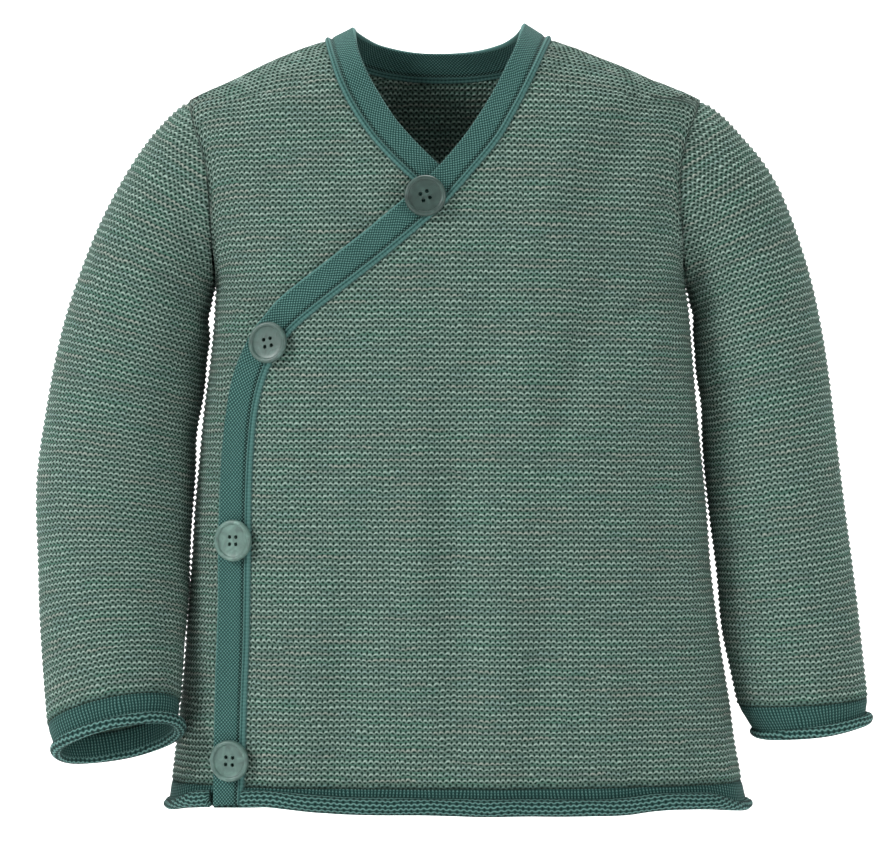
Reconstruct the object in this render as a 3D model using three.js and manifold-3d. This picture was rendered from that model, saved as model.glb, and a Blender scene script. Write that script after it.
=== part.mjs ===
import * as THREE from 'three';
import Module from 'manifold-3d';

const wasm = await Module();
wasm.setup();

const group = new THREE.Group();
group.name = 'baby_wrap_cardigan';

// Lengths are millimetres. +X is the viewer's right, +Z is up and the front faces -Y.
// The origin is the middle of the shoulder line, under the neck band.
const WALL = 2.2;
const TRIM_WALL = 1.8;
const SEAM_GAP = 0.3;
const OVERLAP_LIFT = 3.6;
// Seams on a curve start a little wider, so that their flat faces stay clear.
const SLEEVE_SEAM_GAP = SEAM_GAP * 1.9;
const BAND_SEAM_GAP = SEAM_GAP * 1.5;
const TRIM_SEAM_GAP = SEAM_GAP * 2.2;

const lerp = (a, b, t) => a + (b - a) * t;
const clamp = (v, low, high) => Math.min(high, Math.max(low, v));

function smooth(v, low, high) {
  const t = clamp((v - low) / (high - low), 0, 1);
  return t * t * (3 - 2 * t);
}

// Reads one column of a table through a smooth curve that passes every row.
function curveAt(table, key, value, column) {
  const step = table[0][key] > table[table.length - 1][key] ? -1 : 1;
  let i = 0;
  while (i < table.length - 2 && (value - table[i + 1][key]) * step > 0) i += 1;
  const span = table[i + 1][key] - table[i][key];
  const t = clamp((value - table[i][key]) / span, 0, 1);
  const slope = (k) => {
    const a = table[Math.max(k - 1, 0)];
    const b = table[Math.min(k + 1, table.length - 1)];
    return (b[column] - a[column]) / (b[key] - a[key]);
  };
  const a = table[i][column];
  const b = table[i + 1][column];
  const t2 = t * t;
  const t3 = t2 * t;
  return a * (2 * t3 - 3 * t2 + 1) + b * (3 * t2 - 2 * t3)
    + span * (slope(i) * (t3 - 2 * t2 + t) + slope(i + 1) * (t3 - t2));
}

// The top line of the body as seen from the front. It falls along the shoulders and
// carries on up through the neck, where the band stands on it.
const TOP_LINE = [
  { x: -112, z: -24.5 },
  { x: -105, z: -20.9 },
  { x: -89, z: -13.6 },
  { x: -74.4, z: -6.9 },
  { x: -64, z: -2.6 },
  { x: -52.8, z: 1.3 },
  { x: -40, z: 7.9 },
  { x: -20, z: 18 },
  { x: 0, z: 25 },
  { x: 17, z: 18 },
  { x: 34.3, z: 9.4 },
  { x: 47, z: 2 },
  { x: 58, z: -2 },
  { x: 68.2, z: -6.2 },
  { x: 87, z: -13.6 },
  { x: 104.3, z: -20.7 },
  { x: 112, z: -24.5 },
];

// The middle of the body and half its width: along the armhole seams down to the
// armpit, then along the side seams.
const WIDTH = [
  { z: -24.5, middle: 0, half: 112 },
  { z: -35, middle: -1, half: 108.9 },
  { z: -45, middle: -1.1, half: 105.4 },
  { z: -57, middle: -0.6, half: 102.6 },
  { z: -70, middle: 0, half: 101.6 },
  { z: -85, middle: 0.8, half: 101.7 },
  { z: -97, middle: 1.6, half: 102.2 },
  { z: -107.5, middle: 2.4, half: 103.2 },
  { z: -125, middle: 3.1, half: 104.6 },
  { z: -156, middle: 2.4, half: 107.6 },
  { z: -191, middle: 2.4, half: 111.2 },
  { z: -227, middle: 2.5, half: 113.9 },
  { z: -262, middle: 3.3, half: 117.2 },
  { z: -288, middle: 4.4, half: 120.4 },
  { z: -306, middle: 4.5, half: 122.5 },
  { z: -326, middle: 5.2, half: 125.2 },
  { z: -345, middle: 5.4, half: 126 },
];

// How far the filled-out body stands in front of and behind its side seams.
const DEPTH = [
  { z: 26, front: 31, back: 30 },
  { z: 0, front: 36, back: 35 },
  { z: -17, front: 39, back: 38.5 },
  { z: -40, front: 44, back: 44 },
  { z: -66, front: 48, back: 48 },
  { z: -107.5, front: 51.5, back: 50 },
  { z: -160, front: 54, back: 49 },
  { z: -220, front: 54, back: 48 },
  { z: -280, front: 51.5, back: 47.5 },
  { z: -345, front: 49, back: 47 },
];

const TIP_Z = -24.5;
const ARMPIT_Z = -107.5;
const ARMHOLE_DEPTH = 29;
const SHOULDER_ROUND = 28;
const SHOULDER_SEAM_SHARE = 0.00001;
const SQUARENESS = 2.8;
const HEM_Z = -322.6;

// The largest folds: soft troughs that run down the body, wider and deeper below.
const FOLDS = [
  { side: -1, x: -24, lean: 6, wide: 17, deep: 2.0, top: -140, full: -300 },
  { side: -1, x: 66, lean: 8, wide: 19, deep: 1.7, top: -120, full: -310 },
  { side: -1, x: 104, lean: 8, wide: 12, deep: 1.2, top: -170, full: -310 },
  { side: -1, x: -76, lean: -12, wide: 13, deep: 1.2, top: -70, full: -100 },
  { side: 1, x: 28, lean: 6, wide: 18, deep: 1.9, top: -130, full: -300 },
  { side: 1, x: -58, lean: -8, wide: 19, deep: 1.8, top: -120, full: -310 },
  { side: 1, x: 88, lean: 7, wide: 14, deep: 1.3, top: -150, full: -310 },
];

const topLine = (x) => curveAt(TOP_LINE, 'x', x, 'z');
const middleAt = (z) => curveAt(WIDTH, 'z', z, 'middle');
const halfAt = (z) => curveAt(WIDTH, 'z', z, 'half');

// The armhole seam is an oval loop, and this is how deep it stands at a height.
function armholeDepth(z) {
  const reach = (z - (TIP_Z + ARMPIT_Z) / 2) / ((TIP_Z - ARMPIT_Z) / 2);
  return Math.abs(reach) >= 1 ? 0 : ARMHOLE_DEPTH * Math.sqrt(1 - reach * reach);
}

function shoulderRound(x, z) {
  const q = clamp((topLine(x) - z) / SHOULDER_ROUND, SHOULDER_SEAM_SHARE, 1);
  return Math.sqrt(1 - (1 - q) * (1 - q));
}

// Half the width that the oval body section would have if no armhole cut it.
function fullHalf(z, deep) {
  const edge = middleAt(z) + halfAt(z);
  const share = armholeDepth(z) / (deep * shoulderRound(edge, z));
  return halfAt(z) / Math.pow(1 - Math.pow(clamp(share, 0, 0.8), SQUARENESS), 1 / SQUARENESS);
}

function foldDepth(side, x, z) {
  let sum = 0;
  for (const fold of FOLDS) {
    if (fold.side !== side) continue;
    const strength = smooth(z, fold.top, fold.full);
    const middle = fold.x + fold.lean * strength;
    const away = (x - middle) / fold.wide;
    sum += fold.deep * strength * Math.exp(-away * away);
  }
  return sum;
}

// How far the cloth stands from the plane of the side seams. side is -1 at the front.
function depthAt(side, x, z) {
  const deep = curveAt(DEPTH, 'z', z, side < 0 ? 'front' : 'back');
  const across = clamp(Math.abs(x - middleAt(z)) / fullHalf(z, deep), 0, 1);
  const oval = Math.pow(1 - Math.pow(across, SQUARENESS), 1 / SQUARENESS);
  const edge = 1 - Math.pow(clamp(Math.abs(x - middleAt(z)) / halfAt(z), 0, 1), 6);
  return deep * oval * shoulderRound(x, z) - foldDepth(side, x, z) * oval * edge;
}

function bodyNormal(side, x, z) {
  const edge = halfAt(z) - Math.abs(x - middleAt(z));
  if (edge < 0.05 && z < ARMPIT_Z + 0.1) {
    return new THREE.Vector3(Math.sign(x), 0, 0);
  }
  const e = 0.25;
  const inward = x > middleAt(z) ? -e : e;
  const slopeX = (depthAt(side, x + inward, z) - depthAt(side, x, z)) / inward;
  const slopeZ = (depthAt(side, x, z - e) - depthAt(side, x, z)) / -e;
  const across = topLine(x) - z < 0.05 ? 0 : side;
  return new THREE.Vector3(-slopeX, across, -slopeZ).normalize();
}

// A point of the body's outer face, moved out by lift along its normal.
function bodyPoint(side, x, z, lift = 0) {
  const y = side * (depthAt(side, x, z) + SEAM_GAP / 2);
  return new THREE.Vector3(x, y, z).addScaledVector(bodyNormal(side, x, z), lift);
}

// The left front lies on the right front, and comes down to the body at its seams.
function leftFrontLift(x, z) {
  return OVERLAP_LIFT * (1 - smooth(x, 34, 92)) * (1 - smooth(z, -42, -6));
}

// One closed solid from sections that follow one another. Each section has an outer
// row of points and an inner row of the same length.
function wall(name, sections, { loop = false } = {}) {
  const rows = sections[0].outer.length;
  const points = [];
  for (const section of sections) {
    for (const p of section.outer) points.push(p.x, p.y, p.z);
    for (const p of section.inner) points.push(p.x, p.y, p.z);
  }
  const outer = (i, k) => (i % sections.length) * rows * 2 + k;
  const inner = (i, k) => outer(i, k) + rows;
  const faces = [];
  const quad = (a, b, c, d) => faces.push(a, b, c, a, c, d);
  const steps = loop ? sections.length : sections.length - 1;
  for (let i = 0; i < steps; i += 1) {
    for (let k = 0; k < rows - 1; k += 1) {
      quad(outer(i, k), outer(i, k + 1), outer(i + 1, k + 1), outer(i + 1, k));
      quad(inner(i, k), inner(i + 1, k), inner(i + 1, k + 1), inner(i, k + 1));
    }
    quad(outer(i, 0), outer(i + 1, 0), inner(i + 1, 0), inner(i, 0));
    const end = rows - 1;
    quad(outer(i, end), inner(i, end), inner(i + 1, end), outer(i + 1, end));
  }
  if (!loop) {
    const last = sections.length - 1;
    for (let k = 0; k < rows - 1; k += 1) {
      quad(outer(0, k), inner(0, k), inner(0, k + 1), outer(0, k + 1));
      quad(outer(last, k), outer(last, k + 1), inner(last, k + 1), inner(last, k));
    }
  }
  addSolid(name, points, faces);
}

function signedVolume(points, faces) {
  let sum = 0;
  const a = new THREE.Vector3();
  const b = new THREE.Vector3();
  const c = new THREE.Vector3();
  for (let i = 0; i < faces.length; i += 3) {
    a.fromArray(points, faces[i] * 3);
    b.fromArray(points, faces[i + 1] * 3);
    c.fromArray(points, faces[i + 2] * 3);
    sum += a.dot(b.cross(c)) / 6;
  }
  return sum;
}

const KNIT = { color: 0x8fa99a, roughness: 0.9 };
const TRIM = { color: 0x3f6762, roughness: 0.9 };
const PEARL = { color: 0x7c9a8f, roughness: 0.3 };
const LOOK = {
  back: KNIT,
  left_front: KNIT,
  right_front: KNIT,
  left_sleeve: KNIT,
  right_sleeve: KNIT,
};

function addSolid(name, points, faces) {
  if (signedVolume(points, faces) < 0) {
    for (let i = 0; i < faces.length; i += 3) {
      [faces[i + 1], faces[i + 2]] = [faces[i + 2], faces[i + 1]];
    }
  }
  const geometry = new THREE.BufferGeometry();
  geometry.setAttribute('position', new THREE.Float32BufferAttribute(points, 3));
  geometry.setIndex(faces);
  geometry.computeVertexNormals();
  const look = LOOK[name] ?? (name.startsWith('button') ? PEARL : TRIM);
  const mesh = new THREE.Mesh(geometry, new THREE.MeshStandardMaterial({ ...look, name }));
  mesh.name = name;
  group.add(mesh);
}

// Rows of a body panel: one at each step round the armhole, then evenly to the hem.
const ARMHOLE_STEPS = 10;
const HEM_STEPS = 11;

function edgeHeights() {
  const heights = [];
  for (let i = 0; i <= ARMHOLE_STEPS; i += 1) {
    const turn = (Math.PI * i) / ARMHOLE_STEPS;
    heights.push(lerp(ARMPIT_Z, TIP_Z, (1 + Math.cos(turn)) / 2));
  }
  for (let i = 1; i <= HEM_STEPS; i += 1) {
    heights.push(lerp(ARMPIT_Z, HEM_Z, i / HEM_STEPS));
  }
  return heights;
}

// The front band's two edges, from the left front's hem up to the shoulder, from the
// table's top. The join is sewn to the panel and the free edge lies at the opening.
const LEFT_EDGE = [
  { joinX: 47, joinZ: 2, freeX: 34.3, freeZ: 9.4 },
  { joinX: 42.1, joinZ: -9.2, freeX: 31.1, freeZ: -1.5 },
  { joinX: 36.1, joinZ: -22.4, freeX: 26, freeZ: -13.3 },
  { joinX: 30.4, joinZ: -33.8, freeX: 19.9, freeZ: -25.5 },
  { joinX: 23.5, joinZ: -45.8, freeX: 12, freeZ: -38.7 },
  { joinX: 12.1, joinZ: -59.8, freeX: 1.6, freeZ: -52.1 },
  { joinX: -0.9, joinZ: -74.4, freeX: -10.3, freeZ: -64.7 },
  { joinX: -14.9, joinZ: -87.1, freeX: -22.9, freeZ: -75.3 },
  { joinX: -35.5, joinZ: -104, freeX: -44, freeZ: -92.3 },
  { joinX: -54.5, joinZ: -119, freeX: -63.6, freeZ: -107.7 },
  { joinX: -65.5, joinZ: -129.1, freeX: -75.8, freeZ: -118.9 },
  { joinX: -72.5, joinZ: -140.7, freeX: -84.6, freeZ: -133.8 },
  { joinX: -76.8, joinZ: -153.3, freeX: -90.2, freeZ: -149.3 },
  { joinX: -79.6, joinZ: -169.9, freeX: -93.3, freeZ: -169.9 },
  { joinX: -81.1, joinZ: -199, freeX: -95.3, freeZ: -199.2 },
  { joinX: -81.9, joinZ: -247.6, freeX: -96.2, freeZ: -248.1 },
  { joinX: -83.4, joinZ: -286.6, freeX: -97.6, freeZ: -287.2 },
  { joinX: -85.2, joinZ: -329.6, freeX: -98.5, freeZ: -330.2 },
];

// The same down the right front. Below the crossing it is hidden and finished plainly.
const RIGHT_EDGE = [
  { joinX: -52.8, joinZ: 1.3, freeX: -40, freeZ: 7.9 },
  { joinX: -49.5, joinZ: -10.1, freeX: -38, freeZ: -3.3 },
  { joinX: -45.9, joinZ: -20.5, freeX: -33.6, freeZ: -14.9 },
  { joinX: -40.2, joinZ: -31.8, freeX: -27.9, freeZ: -25.3 },
  { joinX: -32.1, joinZ: -43.9, freeX: -20.8, freeZ: -36.2 },
  { joinX: -22.9, joinZ: -54.3, freeX: -12.3, freeZ: -45.9 },
  { joinX: -12.2, joinZ: -64.4, freeX: -2.1, freeZ: -55.9 },
  { joinX: -1.9, joinZ: -73.8, freeX: 8.7, freeZ: -65 },
  { joinX: 7.3, joinZ: -84.5, freeX: 19.4, freeZ: -77.7 },
  { joinX: 12, joinZ: -98.1, freeX: 25.8, freeZ: -95.2 },
  { joinX: 13, joinZ: -116.6, freeX: 27.1, freeZ: -116.6 },
  { joinX: 13.2, joinZ: -218.2, freeX: 27.5, freeZ: -218.2 },
  { joinX: 13.6, joinZ: -328.9, freeX: 27.9, freeZ: -329 },
];

// The back neck, from the viewer's right to the left.
const NECK_EDGE = [
  { joinX: 47, joinZ: 2, freeX: 34.3, freeZ: 9.4 },
  { joinX: 43.7, joinZ: -2.5, freeX: 31.6, freeZ: 6.9 },
  { joinX: 34.8, joinZ: -7.7, freeX: 25.5, freeZ: 3.7 },
  { joinX: 19.5, joinZ: -12, freeX: 14.3, freeZ: 1.2 },
  { joinX: 0, joinZ: -13.4, freeX: -1, freeZ: 0 },
  { joinX: -19.5, joinZ: -12.2, freeX: -14.9, freeZ: 0.6 },
  { joinX: -36.8, joinZ: -7.9, freeX: -29.1, freeZ: 3.3 },
  { joinX: -48.2, joinZ: -2.7, freeX: -36.9, freeZ: 6.5 },
  { joinX: -52.8, joinZ: 1.3, freeX: -40, freeZ: 7.9 },
];

// The band's edges at a height, from the table.
function edgeAt(table, key, value) {
  const edge = {};
  for (const column of ['joinX', 'joinZ', 'freeX', 'freeZ']) {
    edge[column] = column === key ? value : curveAt(table, key, value, column);
  }
  return edge;
}

// Heights of a front panel's rows at its inner edge, which starts at the neck.
function innerHeights(table) {
  return edgeHeights().map((edgeZ, i) => {
    if (i >= ARMHOLE_STEPS) return edgeZ;
    const drop = (TIP_Z - edgeZ) / (TIP_Z - ARMPIT_Z);
    return lerp(table[0].joinZ, ARMPIT_Z, lerp(drop, i / ARMHOLE_STEPS, 0.75));
  });
}

// A front panel, from the band's join at its inner edge to its armhole and side seam.
function frontPanel(name, table, toward, columns, lift) {
  const heights = edgeHeights();
  const starts = innerHeights(table);
  const tip = middleAt(TIP_Z) + toward * halfAt(TIP_Z);
  const start = table[0].joinX;
  const grid = heights.map((edgeZ, j) => {
    const drop = clamp((TIP_Z - edgeZ) / (TIP_Z - ARMPIT_Z), 0, 1);
    const innerX = edgeAt(table, 'joinZ', starts[j]).joinX;
    const middle = middleAt(edgeZ);
    const half = halfAt(edgeZ);
    const first = Math.asin(clamp((innerX - middle) / (toward * half), -1, 1));
    const row = [];
    for (let i = 0; i <= columns; i += 1) {
      const even = i / columns;
      const turned = middle + toward * half * Math.sin(lerp(first, Math.PI / 2, even));
      const byTurn = (turned - innerX) / (middle + toward * half - innerX);
      const share = lerp(even, byTurn, smooth(drop, 0.1, 1));
      const x = lerp(innerX, middle + toward * half, share);
      const topX = lerp(start, tip, share);
      const bulge = topLine(topX) - lerp(topLine(start), topLine(tip), share);
      row.push({ x, z: lerp(starts[j], edgeZ, share) + bulge * (1 - drop) * (1 - drop) });
    }
    return row;
  });
  const sections = [];
  for (let i = 0; i <= columns; i += 1) {
    sections.push({
      outer: grid.map((row) => bodyPoint(-1, row[i].x, row[i].z, lift(row[i].x, row[i].z))),
      inner: grid.map((row) => bodyPoint(-1, row[i].x, row[i].z, lift(row[i].x, row[i].z) - WALL)),
    });
  }
  wall(name, sections);
  return grid[grid.length - 1].map((p) => ({ ...p, side: -1, lift: lift(p.x, p.z) }));
}

const noLift = () => 0;
const rightFrontFoot = frontPanel('right_front', RIGHT_EDGE, -1, 13, noLift);
const leftFrontFoot = frontPanel('left_front', LEFT_EDGE, 1, 18, leftFrontLift);

// The back panel. Its top edge follows both shoulders and dips at the back neck.
const NECK_COLUMNS = 11;

function neckColumns() {
  const left = NECK_EDGE[0].joinX;
  const right = NECK_EDGE[NECK_EDGE.length - 1].joinX;
  const list = [];
  for (let i = 0; i <= NECK_COLUMNS; i += 1) {
    list.push(lerp(right, left, (1 - Math.cos((Math.PI * i) / NECK_COLUMNS)) / 2));
  }
  return list;
}

function backPanel(shoulderColumns) {
  const neck = neckColumns();
  const reach = halfAt(TIP_Z);
  const topX = [];
  for (let i = 0; i < shoulderColumns; i += 1) {
    topX.push(lerp(-reach, neck[0], i / shoulderColumns));
  }
  topX.push(...neck);
  for (let i = 1; i <= shoulderColumns; i += 1) {
    topX.push(lerp(neck[NECK_COLUMNS], reach, i / shoulderColumns));
  }
  const columns = topX.length - 1;
  const topAt = (x) => {
    const inNeck = x < neck[NECK_COLUMNS] && x > neck[0];
    return inNeck ? edgeAt(NECK_EDGE, 'joinX', x).joinZ : topLine(x);
  };
  const grid = edgeHeights().map((edgeZ) => {
    const drop = clamp((TIP_Z - edgeZ) / (TIP_Z - ARMPIT_Z), 0, 1);
    const row = [];
    for (let i = 0; i <= columns; i += 1) {
      const even = topX[i] / reach;
      const turned = Math.sin(lerp(-Math.PI / 2, Math.PI / 2, i / columns));
      const share = lerp(even, turned, smooth(drop, 0.1, 1));
      const x = middleAt(edgeZ) + share * halfAt(edgeZ);
      const rise = topAt(topX[i]) - TIP_Z;
      row.push({ x, z: edgeZ + rise * Math.pow(1 - drop, 1.5) });
    }
    return row;
  });
  const sections = [];
  for (let i = 0; i <= columns; i += 1) {
    sections.push({
      outer: grid.map((row) => bodyPoint(1, row[i].x, row[i].z)),
      inner: grid.map((row) => bodyPoint(1, row[i].x, row[i].z, -WALL)),
    });
  }
  wall('back', sections);
  return grid[grid.length - 1].map((p) => ({ ...p, side: 1, lift: 0 }));
}

const backFoot = backPanel(5);

// Each sleeve's rings from the armhole to the wrist: the outer and inner points as seen
// from the front, half its depth, how far forward it hangs and how far its ring tips.
const RIGHT_SLEEVE = [
  { t: 0, outX: -112.3, outZ: -24.3, inX: -101.2, inZ: -107.6, deep: 29, y: 0, tip: 0 },
  { t: 1, outX: -121, outZ: -31.6, inX: -101.8, inZ: -109.4, deep: 29.3, y: 0, tip: 0 },
  { t: 2, outX: -130, outZ: -41.6, inX: -102.1, inZ: -111.4, deep: 29.8, y: 0, tip: 0 },
  { t: 3, outX: -138, outZ: -53, inX: -102.5, inZ: -114.2, deep: 30.4, y: 0, tip: 0 },
  { t: 4, outX: -145, outZ: -65, inX: -102.9, inZ: -118, deep: 31, y: 0, tip: 0 },
  { t: 5, outX: -151, outZ: -77, inX: -103.2, inZ: -123, deep: 31.4, y: 0, tip: 0 },
  { t: 6, outX: -157, outZ: -91, inX: -103.2, inZ: -130, deep: 31.6, y: -0.5, tip: 0 },
  { t: 7, outX: -163, outZ: -107, inX: -104.2, inZ: -139, deep: 31.6, y: -1, tip: 0 },
  { t: 8, outX: -168, outZ: -125, inX: -105.5, inZ: -151, deep: 31.4, y: -2, tip: 1 },
  { t: 10, outX: -175.2, outZ: -163, inX: -108.5, inZ: -180, deep: 30.6, y: -6, tip: 4 },
  { t: 12, outX: -178.9, outZ: -203, inX: -110.6, inZ: -213, deep: 28.6, y: -12, tip: 9 },
  { t: 14, outX: -176.4, outZ: -246, inX: -111.8, inZ: -249, deep: 25.4, y: -20, tip: 16 },
  { t: 16, outX: -171.6, outZ: -298, inX: -114.6, inZ: -286.5, deep: 22, y: -29, tip: 23 },
];

const LEFT_SLEEVE = [
  { t: 0, outX: 112.3, outZ: -24.3, inX: 106, inZ: -107.6, deep: 29, y: 0, tip: 0 },
  { t: 1, outX: 122, outZ: -31.5, inX: 106.6, inZ: -109.2, deep: 29.3, y: 0, tip: 0 },
  { t: 2, outX: 131, outZ: -41, inX: 107, inZ: -111, deep: 29.8, y: 0, tip: 0 },
  { t: 3, outX: 139.5, outZ: -51, inX: 107.4, inZ: -113.4, deep: 30.2, y: 0, tip: 0 },
  { t: 4, outX: 146.3, outZ: -62, inX: 107.9, inZ: -116.6, deep: 30.4, y: 0, tip: 0 },
  { t: 5, outX: 151.5, outZ: -74, inX: 108.3, inZ: -121, deep: 30.4, y: 0, tip: 0 },
  { t: 6, outX: 156, outZ: -87, inX: 108.8, inZ: -127, deep: 30.2, y: -0.5, tip: 0 },
  { t: 7, outX: 160.5, outZ: -101, inX: 109.4, inZ: -135, deep: 30, y: -1, tip: 0 },
  { t: 8, outX: 164, outZ: -117, inX: 110.1, inZ: -145, deep: 29.6, y: -1.5, tip: 0 },
  { t: 10, outX: 170, outZ: -156, inX: 112.7, inZ: -174, deep: 28.6, y: -2.5, tip: -1 },
  { t: 12, outX: 175.3, outZ: -198.5, inX: 115.9, inZ: -210.5, deep: 26.8, y: -3.5, tip: -2 },
  { t: 14, outX: 180.2, outZ: -242, inX: 120.1, inZ: -250, deep: 24.6, y: -5, tip: -3 },
  { t: 16, outX: 185, outZ: -286.5, inX: 128.4, inZ: -290, deep: 22, y: -7, tip: -2 },
];

// Soft creases across the sleeves. They run deepest on the side that turn names, which
// is counted round the sleeve from its outer edge through the front.
const SLEEVE_CREASES = [
  { sleeve: 'right', at: 4.6, wide: 0.9, turn: 140, deep: 1.5 },
  { sleeve: 'right', at: 9.4, wide: 0.8, turn: 200, deep: 1.3 },
  { sleeve: 'right', at: 13, wide: 0.9, turn: 60, deep: 1.4 },
  { sleeve: 'left', at: 4.8, wide: 0.9, turn: 140, deep: 1.5 },
  { sleeve: 'left', at: 9, wide: 0.8, turn: 210, deep: 1.3 },
  { sleeve: 'left', at: 13.2, wide: 0.9, turn: 170, deep: 1.3 },
];

function sleeveRing(sleeve, table, t) {
  const get = (column) => curveAt(table, 't', t, column);
  const middle = new THREE.Vector3((get('outX') + get('inX')) / 2, get('y'),
    (get('outZ') + get('inZ')) / 2);
  const across = new THREE.Vector3((get('outX') - get('inX')) / 2, 0,
    (get('outZ') - get('inZ')) / 2);
  const tip = THREE.MathUtils.degToRad(get('tip'));
  const toFront = new THREE.Vector3(0, -Math.cos(tip), Math.sin(tip)).multiplyScalar(get('deep'));
  const side = Math.sign(get('outX'));
  return (turn) => {
    const p = middle.clone().addScaledVector(across, Math.cos(turn))
      .addScaledVector(toFront, Math.sin(turn));
    const seamX = middleAt(p.z) + side * (halfAt(p.z) + SLEEVE_SEAM_GAP);
    const straightX = p.x;
    p.x = lerp(seamX, straightX, clamp(t / 1.4, 0, 1));
    const inward = middle.clone().sub(p).normalize();
    for (const crease of SLEEVE_CREASES) {
      if (crease.sleeve !== sleeve) continue;
      const along = (t - crease.at) / crease.wide;
      const facing = (1 + Math.cos(turn - THREE.MathUtils.degToRad(crease.turn))) / 2;
      p.addScaledVector(inward, crease.deep * facing * facing * Math.exp(-along * along));
    }
    return p;
  };
}

// The ring's outward direction at a turn, from its neighbours along and around.
function ringNormal(ringAt, t, turn, tEnd) {
  const e = 0.02;
  const before = ringAt(Math.max(t - e, 0))(turn);
  const after = ringAt(Math.min(t + e, tEnd))(turn);
  const along = after.sub(before);
  const around = ringAt(t)(turn + 0.02).sub(ringAt(t)(turn - 0.02));
  const normal = along.cross(around).normalize();
  const middle = ringAt(t)(turn).add(ringAt(t)(turn + Math.PI)).multiplyScalar(0.5);
  return normal.dot(ringAt(t)(turn).sub(middle)) < 0 ? normal.negate() : normal;
}

const SLEEVE_END = 16;
const SLEEVE_TURNS = ARMHOLE_STEPS * 2;
const SLEEVE_STEPS = [0, 0.5, 1.1, 1.8, 2.6, 3.5, 4.5, 5.5, 6.6, 7.8, 9, 10.2, 11.4, 12.6, 13.8, 15, 16];

function sleeveTube(name, sleeve, table) {
  const ringAt = (t) => sleeveRing(sleeve, table, t);
  const sections = [];
  for (let i = 0; i < SLEEVE_TURNS; i += 1) {
    const turn = (Math.PI * 2 * i) / SLEEVE_TURNS;
    const outer = [];
    const inner = [];
    for (const t of SLEEVE_STEPS) {
      const p = ringAt(t)(turn);
      const normal = ringNormal(ringAt, t, turn, SLEEVE_END);
      if (t === 0 && Math.cos(turn) > -0.1) {
        const side = Math.sin(turn) > 0 ? -1 : 1;
        const x = middleAt(p.z) + Math.sign(p.x) * halfAt(p.z);
        normal.lerp(bodyNormal(side, x, p.z), smooth(Math.cos(turn), -0.1, 0.5)).normalize();
      }
      outer.push(p);
      inner.push(p.clone().addScaledVector(normal, -WALL));
    }
    sections.push({ outer, inner });
  }
  wall(name, sections, { loop: true });
}

sleeveTube('right_sleeve', 'right', RIGHT_SLEEVE);
sleeveTube('left_sleeve', 'left', LEFT_SLEEVE);

// The band's section from the join to the free edge, as a share of its width, with how
// far its outer and inner faces stand off the body. The first part is the linked ridge.
const BAND_SECTION = [
  { across: 0, outer: -0.2, inner: -1.9 },
  { across: 0.07, outer: 0.9, inner: -2.2 },
  { across: 0.17, outer: 0.9, inner: -2.2 },
  { across: 0.24, outer: -0.1, inner: -2.2 },
  { across: 0.6, outer: 0.1, inner: -2.2 },
  { across: 0.93, outer: 0.1, inner: -2.2 },
  { across: 1, outer: -0.7, inner: -1.6 },
];

function bandSection(side, edge, lift) {
  const wide = Math.hypot(edge.freeX - edge.joinX, edge.freeZ - edge.joinZ);
  const at = (part, off) => {
    const across = (BAND_SEAM_GAP + part.across * (wide - BAND_SEAM_GAP)) / wide;
    const x = lerp(edge.joinX, edge.freeX, across);
    const z = lerp(edge.joinZ, edge.freeZ, across);
    return bodyPoint(side, x, z, lift(x, z) + off);
  };
  return {
    outer: BAND_SECTION.map((part) => at(part, part.outer)),
    inner: BAND_SECTION.map((part) => at(part, part.inner)),
  };
}

// Down a front, the band has a section at each row of the panel that it is sewn to, and
// halfway between rows along the slanted neck.
function frontRun(table, lift) {
  const heights = innerHeights(table);
  const sections = [];
  heights.forEach((z, j) => {
    const edge = edgeAt(table, 'joinZ', z);
    sections.push(bandSection(-1, edge, lift));
    if (j >= ARMHOLE_STEPS + 2) return;
    const next = edgeAt(table, 'joinZ', heights[j + 1]);
    const half = edgeAt(table, 'joinZ', (z + heights[j + 1]) / 2);
    half.joinX = (edge.joinX + next.joinX) / 2;
    sections.push(bandSection(-1, half, lift));
  });
  sections.push(bandSection(-1, table[table.length - 1], lift));
  return sections;
}

function neckRun() {
  const sections = [];
  const columns = neckColumns().reverse();
  columns.forEach((x) => {
    const edge = edgeAt(NECK_EDGE, 'joinX', x);
    sections.push(bandSection(1, edge, noLift));
  });
  return sections.slice(1, -1);
}

// The band turns over the shoulder line, where it belongs to neither side.
function onShoulder(section) {
  for (const p of [...section.outer, ...section.inner]) p.y = 0;
  return section;
}

const downLeft = frontRun(LEFT_EDGE, leftFrontLift);
const downRight = frontRun(RIGHT_EDGE, noLift);
onShoulder(downLeft[0]);
onShoulder(downRight[0]);
wall('front_band', [...downLeft.reverse(), ...neckRun(), ...downRight]);

// A strip that goes down from an edge and then rolls outward. Points are measured out
// from the edge's outer face and down from the edge. A curl of 0 leaves the strip flat.
const ROLL_STEPS = 5;
const ROLL_SWEEP = 285;
const FLAT_SHARE = 0.3;

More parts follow.
